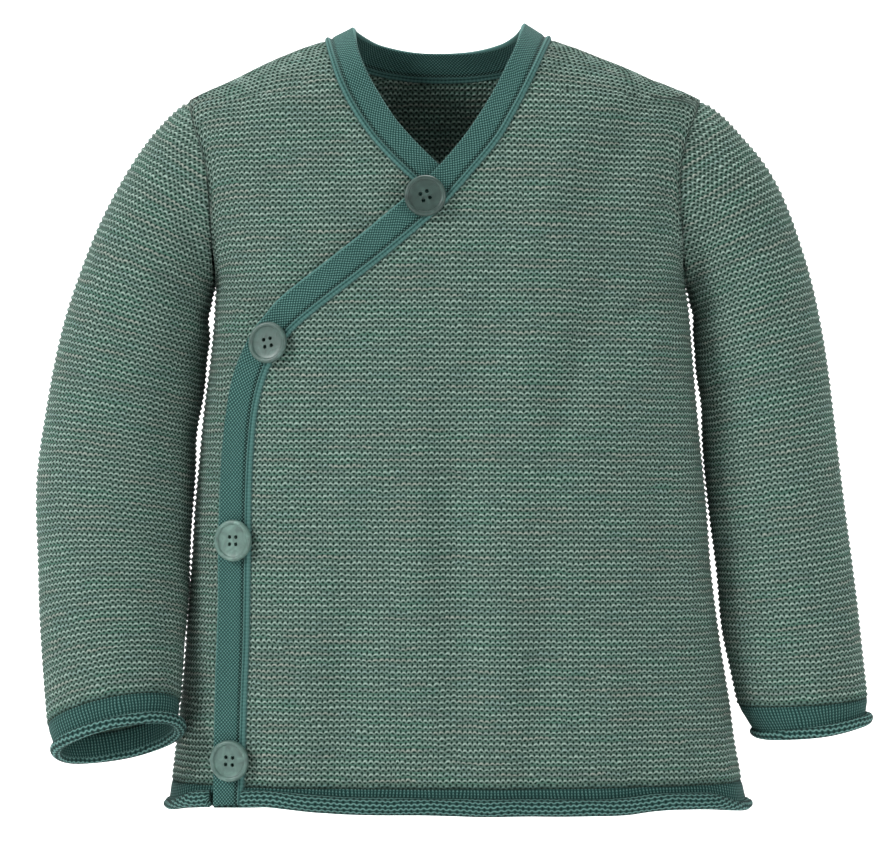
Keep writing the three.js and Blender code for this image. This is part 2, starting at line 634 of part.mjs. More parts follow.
function rolledSection(strip, radius, curl) {
  const outer = [];
  const inner = [];
  const half = TRIM_WALL / 2;
  const put = (out, down, heading) => {
    const acrossOut = Math.cos(heading) * half;
    const acrossDown = -Math.sin(heading) * half;
    outer.push({ out: out + acrossOut, down: down + acrossDown });
    inner.push({ out: out - acrossOut, down: down - acrossDown });
  };
  let out = -half;
  let down = TRIM_SEAM_GAP;
  put(out, down, 0);
  down = strip;
  put(out, down, 0);
  const turn = THREE.MathUtils.degToRad((ROLL_SWEEP * curl) / ROLL_STEPS);
  const chord = 2 * (radius - half) * Math.sin(THREE.MathUtils.degToRad(ROLL_SWEEP / ROLL_STEPS / 2));
  const step = chord * lerp(FLAT_SHARE, 1, curl);
  let heading = 0;
  for (let i = 0; i < ROLL_STEPS; i += 1) {
    heading += turn / 2;
    out += Math.sin(heading) * step;
    down += Math.cos(heading) * step;
    heading += turn / 2;
    put(out, down, heading);
  }
  return { outer, inner };
}

function hemSections(foot, curlAt, radiusAt) {
  return foot.map((p) => {
    const edge = bodyPoint(p.side, p.x, p.z, p.lift);
    const normal = bodyNormal(p.side, p.x, p.z);
    const spread = halfAt(p.z - 1) / halfAt(p.z);
    const lowerX = middleAt(p.z - 1) + (p.x - middleAt(p.z)) * spread;
    const down = bodyPoint(p.side, lowerX, p.z - 1, p.lift).sub(edge);
    down.addScaledVector(normal, -down.dot(normal)).normalize();
    const radius = radiusAt(p.x);
    const strip = curveAt(HEM_FALL, 'x', p.x, 'fall') - radius;
    const section = rolledSection(strip, radius, curlAt(p.x));
    const place = (q) => edge.clone().addScaledVector(normal, q.out)
      .addScaledVector(down, q.down);
    return { outer: section.outer.map(place), inner: section.inner.map(place) };
  });
}

// How far the hem trim falls below the panels. It hangs lowest at the side seams, where
// it is also rolled tightest.
const HEM_FALL = [
  { x: -121, fall: 13 },
  { x: -108, fall: 10 },
  { x: -79, fall: 7.8 },
  { x: -66, fall: 8.3 },
  { x: -53, fall: 9.2 },
  { x: -41, fall: 10 },
  { x: 0, fall: 10.6 },
  { x: 36, fall: 11.2 },
  { x: 75, fall: 11.2 },
  { x: 88, fall: 10 },
  { x: 100, fall: 9.7 },
  { x: 113, fall: 10.2 },
  { x: 131, fall: 13.4 },
];
const HEM_RADIUS = { open: 3.7, tight: 2.1 };
const tightAt = (x) => Math.max(smooth(x, 112, 129), smooth(-x, 104, 119));
const hemRadius = (x) => lerp(HEM_RADIUS.open, HEM_RADIUS.tight, tightAt(x));
const alwaysRolled = () => 1;
const ROLL_ENDS = { rolled: -103.9, flat: -101.2 };
const rolledWhereSeen = (x) => 1 - smooth(x, ROLL_ENDS.rolled, ROLL_ENDS.flat);

// The foot of a front's panel starts at the band, so the trim starts a seam gap away.
function fromBand(foot) {
  const [first, second] = foot;
  const share = SEAM_GAP / Math.abs(second.x - first.x);
  return [{ ...first, x: lerp(first.x, second.x, share) }, ...foot.slice(1)];
}

// The right front's trim has extra columns where its roll flattens under the overlap.
const ROLL_COLUMNS = [ROLL_ENDS.flat, -102.1, -103, ROLL_ENDS.rolled, -107, -111];

function withColumns(foot, added) {
  const list = [...foot];
  for (const x of added) {
    const i = list.findIndex((p, k) => k > 0 && (list[k - 1].x - x) * (p.x - x) < 0);
    if (i > 0) list.splice(i, 0, { ...list[i], x });
  }
  return list;
}

wall('hem_left_front', hemSections(fromBand(leftFrontFoot), alwaysRolled, hemRadius));
wall('hem_right_front', hemSections(
  withColumns(fromBand(rightFrontFoot), ROLL_COLUMNS),
  rolledWhereSeen,
  hemRadius,
));
wall('hem_back', hemSections(backFoot, alwaysRolled, hemRadius));

// The cuffs carry on from each sleeve's last ring. On the side that pulled names, counted
// round like the sleeve's creases, the cuff leans and is rolled tighter.
function cuff(name, sleeve, table, { strip, radius, pulled, lean, tight }) {
  const ringAt = (t) => sleeveRing(sleeve, table, t);
  const sections = [];
  for (let i = 0; i < SLEEVE_TURNS; i += 1) {
    const turn = (Math.PI * 2 * i) / SLEEVE_TURNS;
    const pull = (1 + Math.cos(turn - THREE.MathUtils.degToRad(pulled))) / 2;
    const edge = ringAt(SLEEVE_END)(turn);
    const normal = ringNormal(ringAt, SLEEVE_END, turn, SLEEVE_END);
    const down = edge.clone().sub(ringAt(SLEEVE_END - 0.3)(turn));
    down.addScaledVector(normal, -down.dot(normal)).normalize();
    down.x += lean * pull;
    const section = rolledSection(strip, lerp(radius, tight, pull), 1);
    const place = (q) => edge.clone().addScaledVector(normal, q.out)
      .addScaledVector(down, q.down);
    sections.push({ outer: section.outer.map(place), inner: section.inner.map(place) });
  }
  wall(name, sections, { loop: true });
}

cuff('cuff_right', 'right', RIGHT_SLEEVE, {
  strip: 10.4, radius: 2.8, pulled: 0, lean: 0.28, tight: 2.2,
});
cuff('cuff_left', 'left', LEFT_SLEEVE, {
  strip: 12.4, radius: 2.8, pulled: 180, lean: 0.4, tight: 2,
});

// Four-hole buttons, each resting on the band in the middle of its width.
const BUTTON = { radius: 8.9, rim: 1.5, thick: 3.1, dish: 0.8, hole: 0.85, spread: 1.55 };
const BUTTONS = [
  { name: 'button_1', x: -8.4, z: -70.4, turn: 25 },
  { name: 'button_2', x: -73.2, z: -132.4, turn: 12 },
  { name: 'button_3', x: -87.8, z: -216.6, turn: 0 },
  { name: 'button_4', x: -90.1, z: -310.8, turn: -3 },
];
const BUTTON_REST = 1.2;

function solidOf(geometry) {
  const position = geometry.attributes.position;
  const triVerts = Uint32Array.from(geometry.index.array);
  return new wasm.Manifold(new wasm.Mesh({
    numProp: 3,
    vertProperties: Float32Array.from(position.array),
    triVerts,
  }));
}

// A closed turned shape from a profile of radius and height, round the Z axis.
function turned(profile, segments) {
  const points = [0, 0, profile[0].z];
  const faces = [];
  for (const p of profile) {
    for (let i = 0; i < segments; i += 1) {
      const a = (Math.PI * 2 * i) / segments;
      points.push(p.r * Math.cos(a), p.r * Math.sin(a), p.z);
    }
  }
  points.push(0, 0, profile[profile.length - 1].z);
  const at = (row, i) => 1 + row * segments + (i % segments);
  const top = points.length / 3 - 1;
  for (let i = 0; i < segments; i += 1) {
    faces.push(0, at(0, i + 1), at(0, i));
    for (let row = 0; row < profile.length - 1; row += 1) {
      faces.push(at(row, i), at(row, i + 1), at(row + 1, i + 1));
      faces.push(at(row, i), at(row + 1, i + 1), at(row + 1, i));
    }
    faces.push(top, at(profile.length - 1, i), at(profile.length - 1, i + 1));
  }
  const geometry = new THREE.BufferGeometry();
  geometry.setAttribute('position', new THREE.Float32BufferAttribute(points, 3));
  geometry.setIndex(faces);
  return geometry;
}

function buttonSolid() {
  const b = BUTTON;
  const body = turned([
    { r: b.radius - 1.2, z: 0 },
    { r: b.radius, z: 1.2 },
    { r: b.radius - 0.25, z: b.thick - 0.4 },
    { r: b.radius - 0.9, z: b.thick },
    { r: b.radius - b.rim, z: b.thick - 0.25 },
    { r: b.radius - b.rim - 1, z: b.thick - b.dish },
  ], 28);
  let solid = solidOf(body);
  for (const sx of [-1, 1]) {
    for (const sy of [-1, 1]) {
      const hole = turned([{ r: b.hole, z: -1 }, { r: b.hole, z: b.thick + 1 }], 8);
      hole.translate(sx * b.spread, sy * b.spread, 0);
      solid = solid.subtract(solidOf(hole));
    }
  }
  return solid.getMesh();
}

const buttonMesh = buttonSolid();
for (const spec of BUTTONS) {
  const lift = leftFrontLift(spec.x, spec.z);
  const normal = bodyNormal(-1, spec.x, spec.z);
  const place = bodyPoint(-1, spec.x, spec.z, lift + BUTTON_REST);
  const up = new THREE.Vector3(0, 0, 1).addScaledVector(normal, -normal.z).normalize();
  const right = up.clone().cross(normal);
  const basis = new THREE.Matrix4().makeBasis(right, up, normal).setPosition(place);
  basis.multiply(new THREE.Matrix4().makeRotationZ(THREE.MathUtils.degToRad(spec.turn)));
  const points = [];
  const p = new THREE.Vector3();
  for (let i = 0; i < buttonMesh.vertProperties.length; i += 3) {
    p.fromArray(buttonMesh.vertProperties, i).applyMatrix4(basis);
    points.push(p.x, p.y, p.z);
  }
  addSolid(spec.name, points, [...buttonMesh.triVerts]);
}

export default group;
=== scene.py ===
import math

import bmesh
import bpy
import numpy as np
from mathutils import Matrix


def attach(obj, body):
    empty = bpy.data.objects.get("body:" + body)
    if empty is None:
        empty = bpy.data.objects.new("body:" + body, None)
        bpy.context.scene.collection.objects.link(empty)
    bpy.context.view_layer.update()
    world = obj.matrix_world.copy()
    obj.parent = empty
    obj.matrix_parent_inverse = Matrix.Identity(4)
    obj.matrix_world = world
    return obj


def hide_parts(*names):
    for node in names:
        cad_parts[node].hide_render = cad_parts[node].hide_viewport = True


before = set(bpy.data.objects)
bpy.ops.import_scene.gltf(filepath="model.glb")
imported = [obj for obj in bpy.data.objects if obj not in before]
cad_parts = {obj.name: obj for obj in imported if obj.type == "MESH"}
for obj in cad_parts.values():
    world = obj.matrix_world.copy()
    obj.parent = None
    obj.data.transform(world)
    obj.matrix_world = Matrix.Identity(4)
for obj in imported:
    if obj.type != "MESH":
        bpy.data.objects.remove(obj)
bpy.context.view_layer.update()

# The set: a pale sweep that is floor and backdrop in one, and soft studio light, most of it
# from the left and above. The camera stands 1.6 m from the cardigan, level with its middle,
# and its frame is 891 pixels wide at 0.44 mm to a pixel.
MM = 0.001
PHOTO_WIDE = 891
MM_PER_PIXEL = 0.44
CAMERA_AWAY = 1600
CAMERA_X = 0.2
CAMERA_Z = -166.5
SENSOR = 36

camera_data = bpy.data.cameras.new("camera")
camera_data.sensor_width = SENSOR
camera_data.lens = SENSOR * CAMERA_AWAY / (PHOTO_WIDE * MM_PER_PIXEL)
camera = bpy.data.objects.new("camera", camera_data)
camera.location = (CAMERA_X * MM, -CAMERA_AWAY * MM, CAMERA_Z * MM)
camera.rotation_euler = (math.radians(90), 0, 0)
bpy.context.collection.objects.link(camera)
bpy.context.scene.camera = camera
bpy.context.scene.view_settings.view_transform = "Standard"


def area_light(name, place, aim, size, watts):
    light = bpy.data.lights.new(name, "AREA")
    light.shape = "DISK"
    light.size = size
    light.energy = watts
    lamp = bpy.data.objects.new(name, light)
    lamp.location = place
    toward = bpy.data.objects.new(name + "_aim", None)
    toward.location = aim
    bpy.context.collection.objects.link(lamp)
    bpy.context.collection.objects.link(toward)
    track = lamp.constraints.new("TRACK_TO")
    track.target = toward
    track.track_axis = "TRACK_NEGATIVE_Z"
    track.up_axis = "UP_Y"


area_light("key_light", (-2.6, -1.5, 1.4), (0, 0, -0.15), 1.0, 92)
area_light("fill_light", (1.7, -1.7, 0.2), (0, 0, -0.15), 1.0, 20)
area_light("back_light", (0.3, 1.3, 1.6), (0, 0, -0.1), 1.2, 10)
area_light("sweep_light", (0, 0.5, 1.9), (0, 1.7, -0.3), 1.6, 60)

world = bpy.data.worlds.new("studio")
bpy.context.scene.world = world
world.use_nodes = True
sky = world.node_tree.nodes["Background"].inputs
sky["Color"].default_value = (1, 1, 1, 1)
sky["Strength"].default_value = 0.42

FLOOR_Z = -0.42
SWEEP_RADIUS = 0.8
SWEEP_BACK = 1.4
SWEEP_FRONT = -3.2
SWEEP_HALF = 4.0
SWEEP_HIGH = 4.5
SWEEP_STEPS = 16


def sweep_profile():
    points = [(SWEEP_FRONT, FLOOR_Z), (0.0, FLOOR_Z)]
    for i in range(SWEEP_STEPS + 1):
        turn = math.pi / 2 * i / SWEEP_STEPS
        points.append((SWEEP_BACK + SWEEP_RADIUS * math.sin(turn),
                       FLOOR_Z + SWEEP_RADIUS * (1 - math.cos(turn))))
    points.append((SWEEP_BACK + SWEEP_RADIUS, FLOOR_Z + SWEEP_HIGH))
    return points


profile = sweep_profile()
sweep_mesh = bpy.data.meshes.new("sweep")
sweep_mesh.from_pydata(
    [(x, y, z) for y, z in profile for x in (-SWEEP_HALF, SWEEP_HALF)],
    [],
    [(2 * i, 2 * i + 1, 2 * i + 3, 2 * i + 2) for i in range(len(profile) - 1)],
)
sweep_mesh.polygons.foreach_set("use_smooth", [True] * len(sweep_mesh.polygons))
sweep = bpy.data.objects.new("sweep", sweep_mesh)
bpy.context.collection.objects.link(sweep)
sweep_paint = bpy.data.materials.new("pale_sweep")
sweep_paint.use_nodes = True
sweep_look = sweep_paint.node_tree.nodes["Principled BSDF"].inputs
sweep_look["Base Color"].default_value = (0.94, 0.94, 0.94, 1)
sweep_look["Roughness"].default_value = 0.9
sweep_mesh.materials.append(sweep_paint)

# The right front: one knitted panel from the neck down to the hem, in two strands, light
# sage and dark teal, purl side out. It is knitted to shape and linked to the band, the
# sleeve and the back, and the left front covers most of it.
WALL = 2.2
SEAM_GAP = 0.3
TIP_Z = -24.5
ARMPIT_Z = -107.5
HEM_Z = -322.6
ARMHOLE_DEPTH = 29
SHOULDER_ROUND = 28
SHOULDER_SEAM_SHARE = 0.00001
SQUARENESS = 2.8
SHOULDER_HALF = 112
SIDE_SHARPNESS = 6
SLOPE_STEP = 0.25
AT_EDGE = 0.05
FRONT, BACK = -1, 1


def table(columns, rows):
    return dict(zip(columns.split(), np.array(rows, float).T))


def smooth(v, low, high):
    t = np.clip((v - low) / (high - low), 0, 1)
    return t * t * (3 - 2 * t)


def lerp(a, b, t):
    return a + (b - a) * t


def unit(way):
    return way / np.linalg.norm(way, axis=-1, keepdims=True)


def run_along(points):
    """How far along a line of points each of them lies."""
    steps = np.linalg.norm(np.diff(points, axis=0), axis=-1)
    return np.concatenate([[0], np.cumsum(steps)])


def curve_at(rows, key, value, column):
    """One column of a table, read through a smooth curve that passes every row."""
    at, height = rows[key], rows[column]
    if at[0] > at[-1]:
        at, height = at[::-1], height[::-1]
    slope = np.gradient(height, at)
    slope[1:-1] = (height[2:] - height[:-2]) / (at[2:] - at[:-2])
    i = np.clip(np.searchsorted(at, value) - 1, 0, len(at) - 2)
    span = at[i + 1] - at[i]
    t = np.clip((value - at[i]) / span, 0, 1)
    t2, t3 = t * t, t * t * t
    ends = height[i] * (2 * t3 - 3 * t2 + 1) + height[i + 1] * (3 * t2 - 2 * t3)
    return ends + span * (slope[i] * (t3 - 2 * t2 + t) + slope[i + 1] * (t3 - t2))


TOP_LINE = table("x z", [
    (-112, -24.5), (-105, -20.9), (-89, -13.6), (-74.4, -6.9), (-64, -2.6), (-52.8, 1.3),
    (-40, 7.9), (-20, 18), (0, 25), (17, 18), (34.3, 9.4), (47, 2), (58, -2),
    (68.2, -6.2), (87, -13.6), (104.3, -20.7), (112, -24.5),
])
WIDTH = table("z middle half", [
    (-24.5, 0, 112), (-35, -1, 108.9), (-45, -1.1, 105.4), (-57, -0.6, 102.6),
    (-70, 0, 101.6), (-85, 0.8, 101.7), (-97, 1.6, 102.2), (-107.5, 2.4, 103.2),
    (-125, 3.1, 104.6), (-156, 2.4, 107.6), (-191, 2.4, 111.2), (-227, 2.5, 113.9),
    (-262, 3.3, 117.2), (-288, 4.4, 120.4), (-306, 4.5, 122.5), (-326, 5.2, 125.2),
    (-345, 5.4, 126),
])
DEPTH = table("z front back", [
    (26, 31, 30), (0, 36, 35), (-17, 39, 38.5), (-40, 44, 44), (-66, 48, 48),
    (-107.5, 51.5, 50), (-160, 54, 49), (-220, 54, 48), (-280, 51.5, 47.5), (-345, 49, 47),
])
# Soft vertical folds. Each deepens from its top to where it is full.
FOLDS = [
    dict(side=FRONT, x=-24, lean=6, wide=17, deep=2.0, top=-140, full=-300),
    dict(side=FRONT, x=66, lean=8, wide=19, deep=1.7, top=-120, full=-310),
    dict(side=FRONT, x=104, lean=8, wide=12, deep=1.2, top=-170, full=-310),
    dict(side=FRONT, x=-76, lean=-12, wide=13, deep=1.2, top=-70, full=-100),
    dict(side=BACK, x=28, lean=6, wide=18, deep=1.9, top=-130, full=-300),
    dict(side=BACK, x=-58, lean=-8, wide=19, deep=1.8, top=-120, full=-310),
    dict(side=BACK, x=88, lean=7, wide=14, deep=1.3, top=-150, full=-310),
]


def top_line(x):
    return curve_at(TOP_LINE, "x", x, "z")


def middle_at(z):
    return curve_at(WIDTH, "z", z, "middle")


def half_at(z):
    return curve_at(WIDTH, "z", z, "half")


def shoulder_round(x, z):
    q = np.clip((top_line(x) - z) / SHOULDER_ROUND, SHOULDER_SEAM_SHARE, 1)
    return np.sqrt(1 - (1 - q) ** 2)


def full_half(z, deep):
    """Half the width that the oval section would have if no armhole cut it."""
    reach = (z - (TIP_Z + ARMPIT_Z) / 2) / ((TIP_Z - ARMPIT_Z) / 2)
    armhole = ARMHOLE_DEPTH * np.sqrt(np.clip(1 - reach * reach, 0, 1))
    share = armhole / (deep * shoulder_round(middle_at(z) + half_at(z), z))
    return half_at(z) / (1 - np.clip(share, 0, 0.8) ** SQUARENESS) ** (1 / SQUARENESS)


def depth_at(side, x, z):
    """How far the cloth stands from the plane of the side seams."""
    deep = curve_at(DEPTH, "z", z, "front" if side == FRONT else "back")
    away = np.abs(x - middle_at(z))
    across = np.clip(away / full_half(z, deep), 0, 1)
    oval = (1 - across ** SQUARENESS) ** (1 / SQUARENESS)
    edge = 1 - np.clip(away / half_at(z), 0, 1) ** SIDE_SHARPNESS
    fold = 0
    for f in FOLDS:
        if f["side"] == side:
            strength = smooth(z, f["top"], f["full"])
            off = (x - f["x"] - f["lean"] * strength) / f["wide"]
            fold = fold + f["deep"] * strength * np.exp(-off * off)
    return deep * oval * shoulder_round(x, z) - fold * oval * edge


def body_normal(side, x, z):
    e = SLOPE_STEP
    inward = np.where(x > middle_at(z), -e, e)
    here = depth_at(side, x, z)
    slope_x = (depth_at(side, x + inward, z) - here) / inward
    slope_z = (depth_at(side, x, z - e) - here) / -e
    across = np.where(top_line(x) - z < AT_EDGE, 0, side)
    normal = np.stack([-slope_x, across, -slope_z], -1)
    near_side = half_at(z) - np.abs(x - middle_at(z)) < AT_EDGE
    at_side = near_side & (z < ARMPIT_Z + 0.1)
    normal[at_side] = np.stack([np.sign(x), 0 * x, 0 * x], -1)[at_side]
    return unit(normal)


def body_point(side, x, z, lift):
    """A point of the body's outer face, moved out by lift along its normal."""
    y = side * (depth_at(side, x, z) + SEAM_GAP / 2)
    return np.stack([x, y, z], -1) + body_normal(side, x, z) * np.asarray(lift)[..., None]


# One knit ridge is 2.58 mm down the cloth and one stitch is 2.36 mm across it. The cloth
# is meshed along its rows, with four steps to a ridge.
ROW = 2.58
STITCH = 2.36
RIDGE_STEPS = 4
RIDGE_CREST = 0.6
RIDGE_OUT = 0.42
RIDGE_IN = 0.28
MAP_ACROSS = 241
MAP_UP = 800


def ridge(rows, height):
    return height * np.cos(2 * np.pi * (rows - RIDGE_CREST))


class RowMap:
    """The knit rows over one side of the body, counted up from the hem. q is the place
    across, from -1 at the right side seam to 1 at the left one."""

    def __init__(self, side):
        self.side = side
        self.q = np.sin(np.linspace(-np.pi / 2, np.pi / 2, MAP_ACROSS))
        rise = 1 - (1 - np.linspace(0, 1, MAP_UP)) ** 2
        top = top_line(SHOULDER_HALF * self.q)
        self.z = HEM_Z + (top[:, None] - HEM_Z) * rise
        x = middle_at(self.z) + self.q[:, None] * half_at(self.z)
        points = np.stack([x, depth_at(side, x, self.z), self.z], -1)
        steps = np.linalg.norm(np.diff(points, axis=1), axis=-1)
        self.up = np.concatenate([np.zeros((len(self.q), 1)), np.cumsum(steps, 1)], 1)

    def row(self, up):
        """The row's height z at each q, and the distance along it from x = 0."""
        z = np.array([np.interp(up, u, h) for u, h in zip(self.up, self.z)])
        x = middle_at(z) + self.q * half_at(z)
        points = np.stack([x, depth_at(self.side, x, z), z], -1)
        along = run_along(points)
        return z, x, along - np.interp(0, x, along)

    def up_at(self, q, z):
        """How far up the cloth a point lies, for arrays of points on one row."""
        near = np.clip(np.searchsorted(self.q, q), 1, len(self.q) - 1)
        share = (q - self.q[near - 1]) / (self.q[near] - self.q[near - 1])
        low = np.array([np.interp(h, self.z[n - 1], self.up[n - 1]) for h, n in zip(z, near)])
        high = np.array([np.interp(h, self.z[n], self.up[n]) for h, n in zip(z, near)])
        return lerp(low, high, share)


END_COLUMNS = np.array([0, 0.35, 0.9, 1.8, 3.2])


def spread_columns(start, end, count):
    """Distances from start to end, close together at both ends."""
    wide = end - start
    ends = END_COLUMNS * min(1, wide / (4 * END_COLUMNS[-1]))
    inner = np.linspace(ends[-1], wide - ends[-1], count - 2 * len(ends) + 2)[1:-1]
    return start + np.concatenate([ends, inner, wide - ends[::-1]])


def closed_wall(name, outer, inner, uv, material, wrap=False):
    """One closed piece of cloth from a grid of outer points and a grid of inner points."""
    rows, columns = outer.shape[:2]
    count = rows * columns
    ids = np.arange(count).reshape(rows, columns)
    home = ids.copy()
    if wrap:
        home[:, -1] = home[:, 0]
    home = np.concatenate([home.ravel(), home.ravel() + count])
    skin = np.stack([ids[:-1, :-1], ids[:-1, 1:], ids[1:, 1:], ids[1:, :-1]], -1).reshape(-1, 4)
    edges = np.stack([skin, np.roll(skin, -1, axis=1)], -1).reshape(-1, 2)
    there = home[edges[:, 0]] * count + home[edges[:, 1]]
    back = home[edges[:, 1]] * count + home[edges[:, 0]]
    a, b = edges[~np.isin(there, back)].T
    rim = np.stack([b, a, a + count, b + count], -1)
    faces = np.concatenate([skin, skin[:, ::-1] + count, rim])
    points = np.concatenate([outer.reshape(-1, 3), inner.reshape(-1, 3)]) * MM
    corner = points[home[faces]]
    volume = np.einsum("ij,ij->", corner[:, 0], np.cross(corner[:, 1], corner[:, 2]))
    volume += np.einsum("ij,ij->", corner[:, 0], np.cross(corner[:, 2], corner[:, 3]))
    if volume < 0:
        faces = faces[:, ::-1]
    mesh = bpy.data.meshes.new(name)
    mesh.from_pydata(points.tolist(), [], home[faces].tolist())
    layer = mesh.uv_layers.new(name="stitches")
    both = np.concatenate([uv.reshape(-1, 2), uv.reshape(-1, 2)])
    layer.data.foreach_set("uv", both[faces].ravel())
    work = bmesh.new()
    work.from_mesh(mesh)
    bmesh.ops.remove_doubles(work, verts=work.verts, dist=0.02 * MM)
    work.to_mesh(mesh)
    work.free()
    mesh.polygons.foreach_set("use_smooth", [True] * len(mesh.polygons))
    mesh.materials.append(material)
    piece = bpy.data.objects.new(name, mesh)
    bpy.context.collection.objects.link(piece)
    return piece


def cloth(piece, node, rests_on):
    """Hides the piece's part in the model and attaches the piece to the root body."""
    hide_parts(node)
    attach(piece, "root")


def uneven(a, b, seed):
    """A slow, soft unevenness between -1 and 1 over two lengths in millimetres."""
    pick = np.random.default_rng(seed)
    total = 0
    for wave in (83, 47, 29):
        way, start = pick.uniform(0, 2 * np.pi, 2)
        total = total + np.sin((a * np.cos(way) + b * np.sin(way)) * 2 * np.pi / wave + start)
    return total / 3


# Shallow creases laid on the cloth. Each runs along its lean, which is counted from
# upright, and stands out where deep is below zero.
CREASES = [
    dict(side=FRONT, x=4, z=-232, lean=-2, long=75, wide=8.5, deep=3.6),
    dict(side=FRONT, x=-13, z=-226, lean=2, long=66, wide=8, deep=-1.6),
    dict(side=FRONT, x=-43, z=-280, lean=4, long=48, wide=9, deep=3.1),
    dict(side=FRONT, x=-50, z=-178, lean=10, long=36, wide=8, deep=2.2),
    dict(side=FRONT, x=41, z=-262, lean=3, long=58, wide=9, deep=2.9),
    dict(side=FRONT, x=23, z=-280, lean=0, long=40, wide=8, deep=-1.2),
    dict(side=FRONT, x=71, z=-286, lean=4, long=50, wide=9, deep=-2.2),
    dict(side=FRONT, x=57, z=-138, lean=16, long=46, wide=9, deep=3.7),
    dict(side=FRONT, x=17, z=-130, lean=10, long=34, wide=9, deep=2.0),
    dict(side=FRONT, x=88, z=-136, lean=8, long=34, wide=9, deep=-2.5),
    dict(side=FRONT, x=88, z=-112, lean=52, long=24, wide=6, deep=2.5),
    dict(side=FRONT, x=92, z=-208, lean=-4, long=50, wide=8, deep=2.0),
    dict(side=FRONT, x=-84, z=-112, lean=-50, long=20, wide=6, deep=2.3),
    dict(side=FRONT, x=-72, z=-62, lean=-32, long=30, wide=9, deep=2.3),
    dict(side=FRONT, x=-38, z=-74, lean=-24, long=24, wide=8, deep=1.9),
    dict(side=FRONT, x=74, z=-52, lean=28, long=32, wide=9, deep=2.5),
    dict(side=FRONT, x=48, z=-62, lean=24, long=26, wide=8, deep=-1.7),
    dict(side=BACK, x=-20, z=-190, lean=6, long=80, wide=10, deep=2.0),
    dict(side=BACK, x=24, z=-270, lean=-3, long=60, wide=9, deep=1.7),
    dict(side=BACK, x=50, z=-220, lean=-5, long=70, wide=9, deep=-1.4),
    dict(side=BACK, x=-66, z=-262, lean=4, long=60, wide=10, deep=1.6),
    dict(side=BACK, x=-84, z=-126, lean=-48, long=28, wide=7, deep=1.6),
    dict(side=BACK, x=86, z=-122, lean=46, long=28, wide=7, deep=1.6),
    dict(side=BACK, x=8, z=-70, lean=86, long=48, wide=9, deep=1.3),
]


def crease_depth(side, x, z):
    total = 0.3 * uneven(x, z, 4)
    for c in CREASES:
        if c["side"] == side:
            turn = math.radians(c["lean"])
            along = ((x - c["x"]) * math.sin(turn) + (z - c["z"]) * math.cos(turn)) / c["long"]
            across = ((x - c["x"]) * math.cos(turn) - (z - c["z"]) * math.sin(turn)) / c["wide"]
            total = total + c["deep"] * np.exp(-along ** 2 - across ** 2)
    return total


class Shade:
    """A shader socket that can be used in Python sums, and that makes other nodes."""

    def __init__(self, tree, socket=None):
        self.tree = tree
        self.socket = socket

    def node(self, kind, settings=None, values=None, out=0):
        made = self.tree.nodes.new("ShaderNode" + kind)
        for name, value in (settings or {}).items():
            if name == "stops":
                ramp = made.color_ramp
                for i, (place, colour) in enumerate(value):
                    stop = ramp.elements[i] if i < 2 else ramp.elements.new(place)
                    stop.position = place
                    stop.color = colour
            else:
                setattr(made, name, value)
        for name, value in (values or {}).items():
            if isinstance(value, Shade):
                self.tree.links.new(value.socket, made.inputs[name])
            else:
                made.inputs[name].default_value = value
        return Shade(self.tree, made.outputs[out] if made.outputs else None)

    def output(self, index):
        return Shade(self.tree, self.socket.node.outputs[index])

    def maths(self, operation, *values):
        return self.node("Math", {"operation": operation}, dict(enumerate(values)))

    def __add__(self, other):
        return self.maths("ADD", self, other)

    def __sub__(self, other):
        return self.maths("SUBTRACT", self, other)

    def __rsub__(self, other):
        return self.maths("SUBTRACT", other, self)

    def __mul__(self, other):
        return self.maths("MULTIPLY", self, other)

    def __truediv__(self, other):
        return self.maths("DIVIDE", self, other)

    def __pow__(self, other):
        return self.maths("POWER", self, other)

    __radd__ = __add__
    __rmul__ = __mul__

    def fraction(self):
        return self.maths("FRACT", self)

    def whole(self):
        return self.maths("FLOOR", self)

    def size(self):
        return self.maths("ABSOLUTE", self)

    def wave(self):
        """A smooth wave from -1 to 1, which is 1 at each whole number."""
        return self.maths("COSINE", self * (2 * math.pi))

    def at_most_one(self):
        return self.maths("MINIMUM", self, 1.0)

    def between(self, low, high):
        """0 below low and 1 above high, with a soft step."""
        return self.node("MapRange", {"interpolation_type": "SMOOTHSTEP"},
                         {"Value": self, "From Min": low, "From Max": high})

    def mixed(self, first, second):
        """The colour first where this value is 0 and second where it is 1."""
        return self.node("Mix", {"data_type": "RGBA"}, {0: self, 6: first, 7: second}, 2)

    def place(self, x, y):
        return self.node("CombineXYZ", None, {"X": x, "Y": y})

    def noise(self, place, scale, detail=1.0):
        return self.node("TexNoise", {"noise_dimensions": "2D"},
                         {"Vector": place, "Scale": scale, "Detail": detail})


def rgb(red, green, blue):
    """A colour from its 0 to 255 screen values."""
    def linear(v):
        v = v / 255
        return v / 12.92 if v <= 0.04045 else ((v + 0.055) / 1.055) ** 2.4
    return (linear(red), linear(green), linear(blue), 1)


SAGE = rgb(152, 175, 165)
SAGE_SHADE = rgb(80, 105, 95)
# The dark teal strand, also laid into the stitch holes as painted shade.
TEAL_STRAND_AND_HOLE_SHADE = rgb(12, 36, 28)
GREENISH = rgb(66, 112, 95)
PINKISH = rgb(156, 149, 140)
BLUISH = rgb(96, 130, 132)
TEAL_FOOT = rgb(66, 104, 97)


def shader(name):
    material = bpy.data.materials.new(name)
    material.use_nodes = True
    material.node_tree.nodes.clear()
    return material, Shade(material.node_tree)


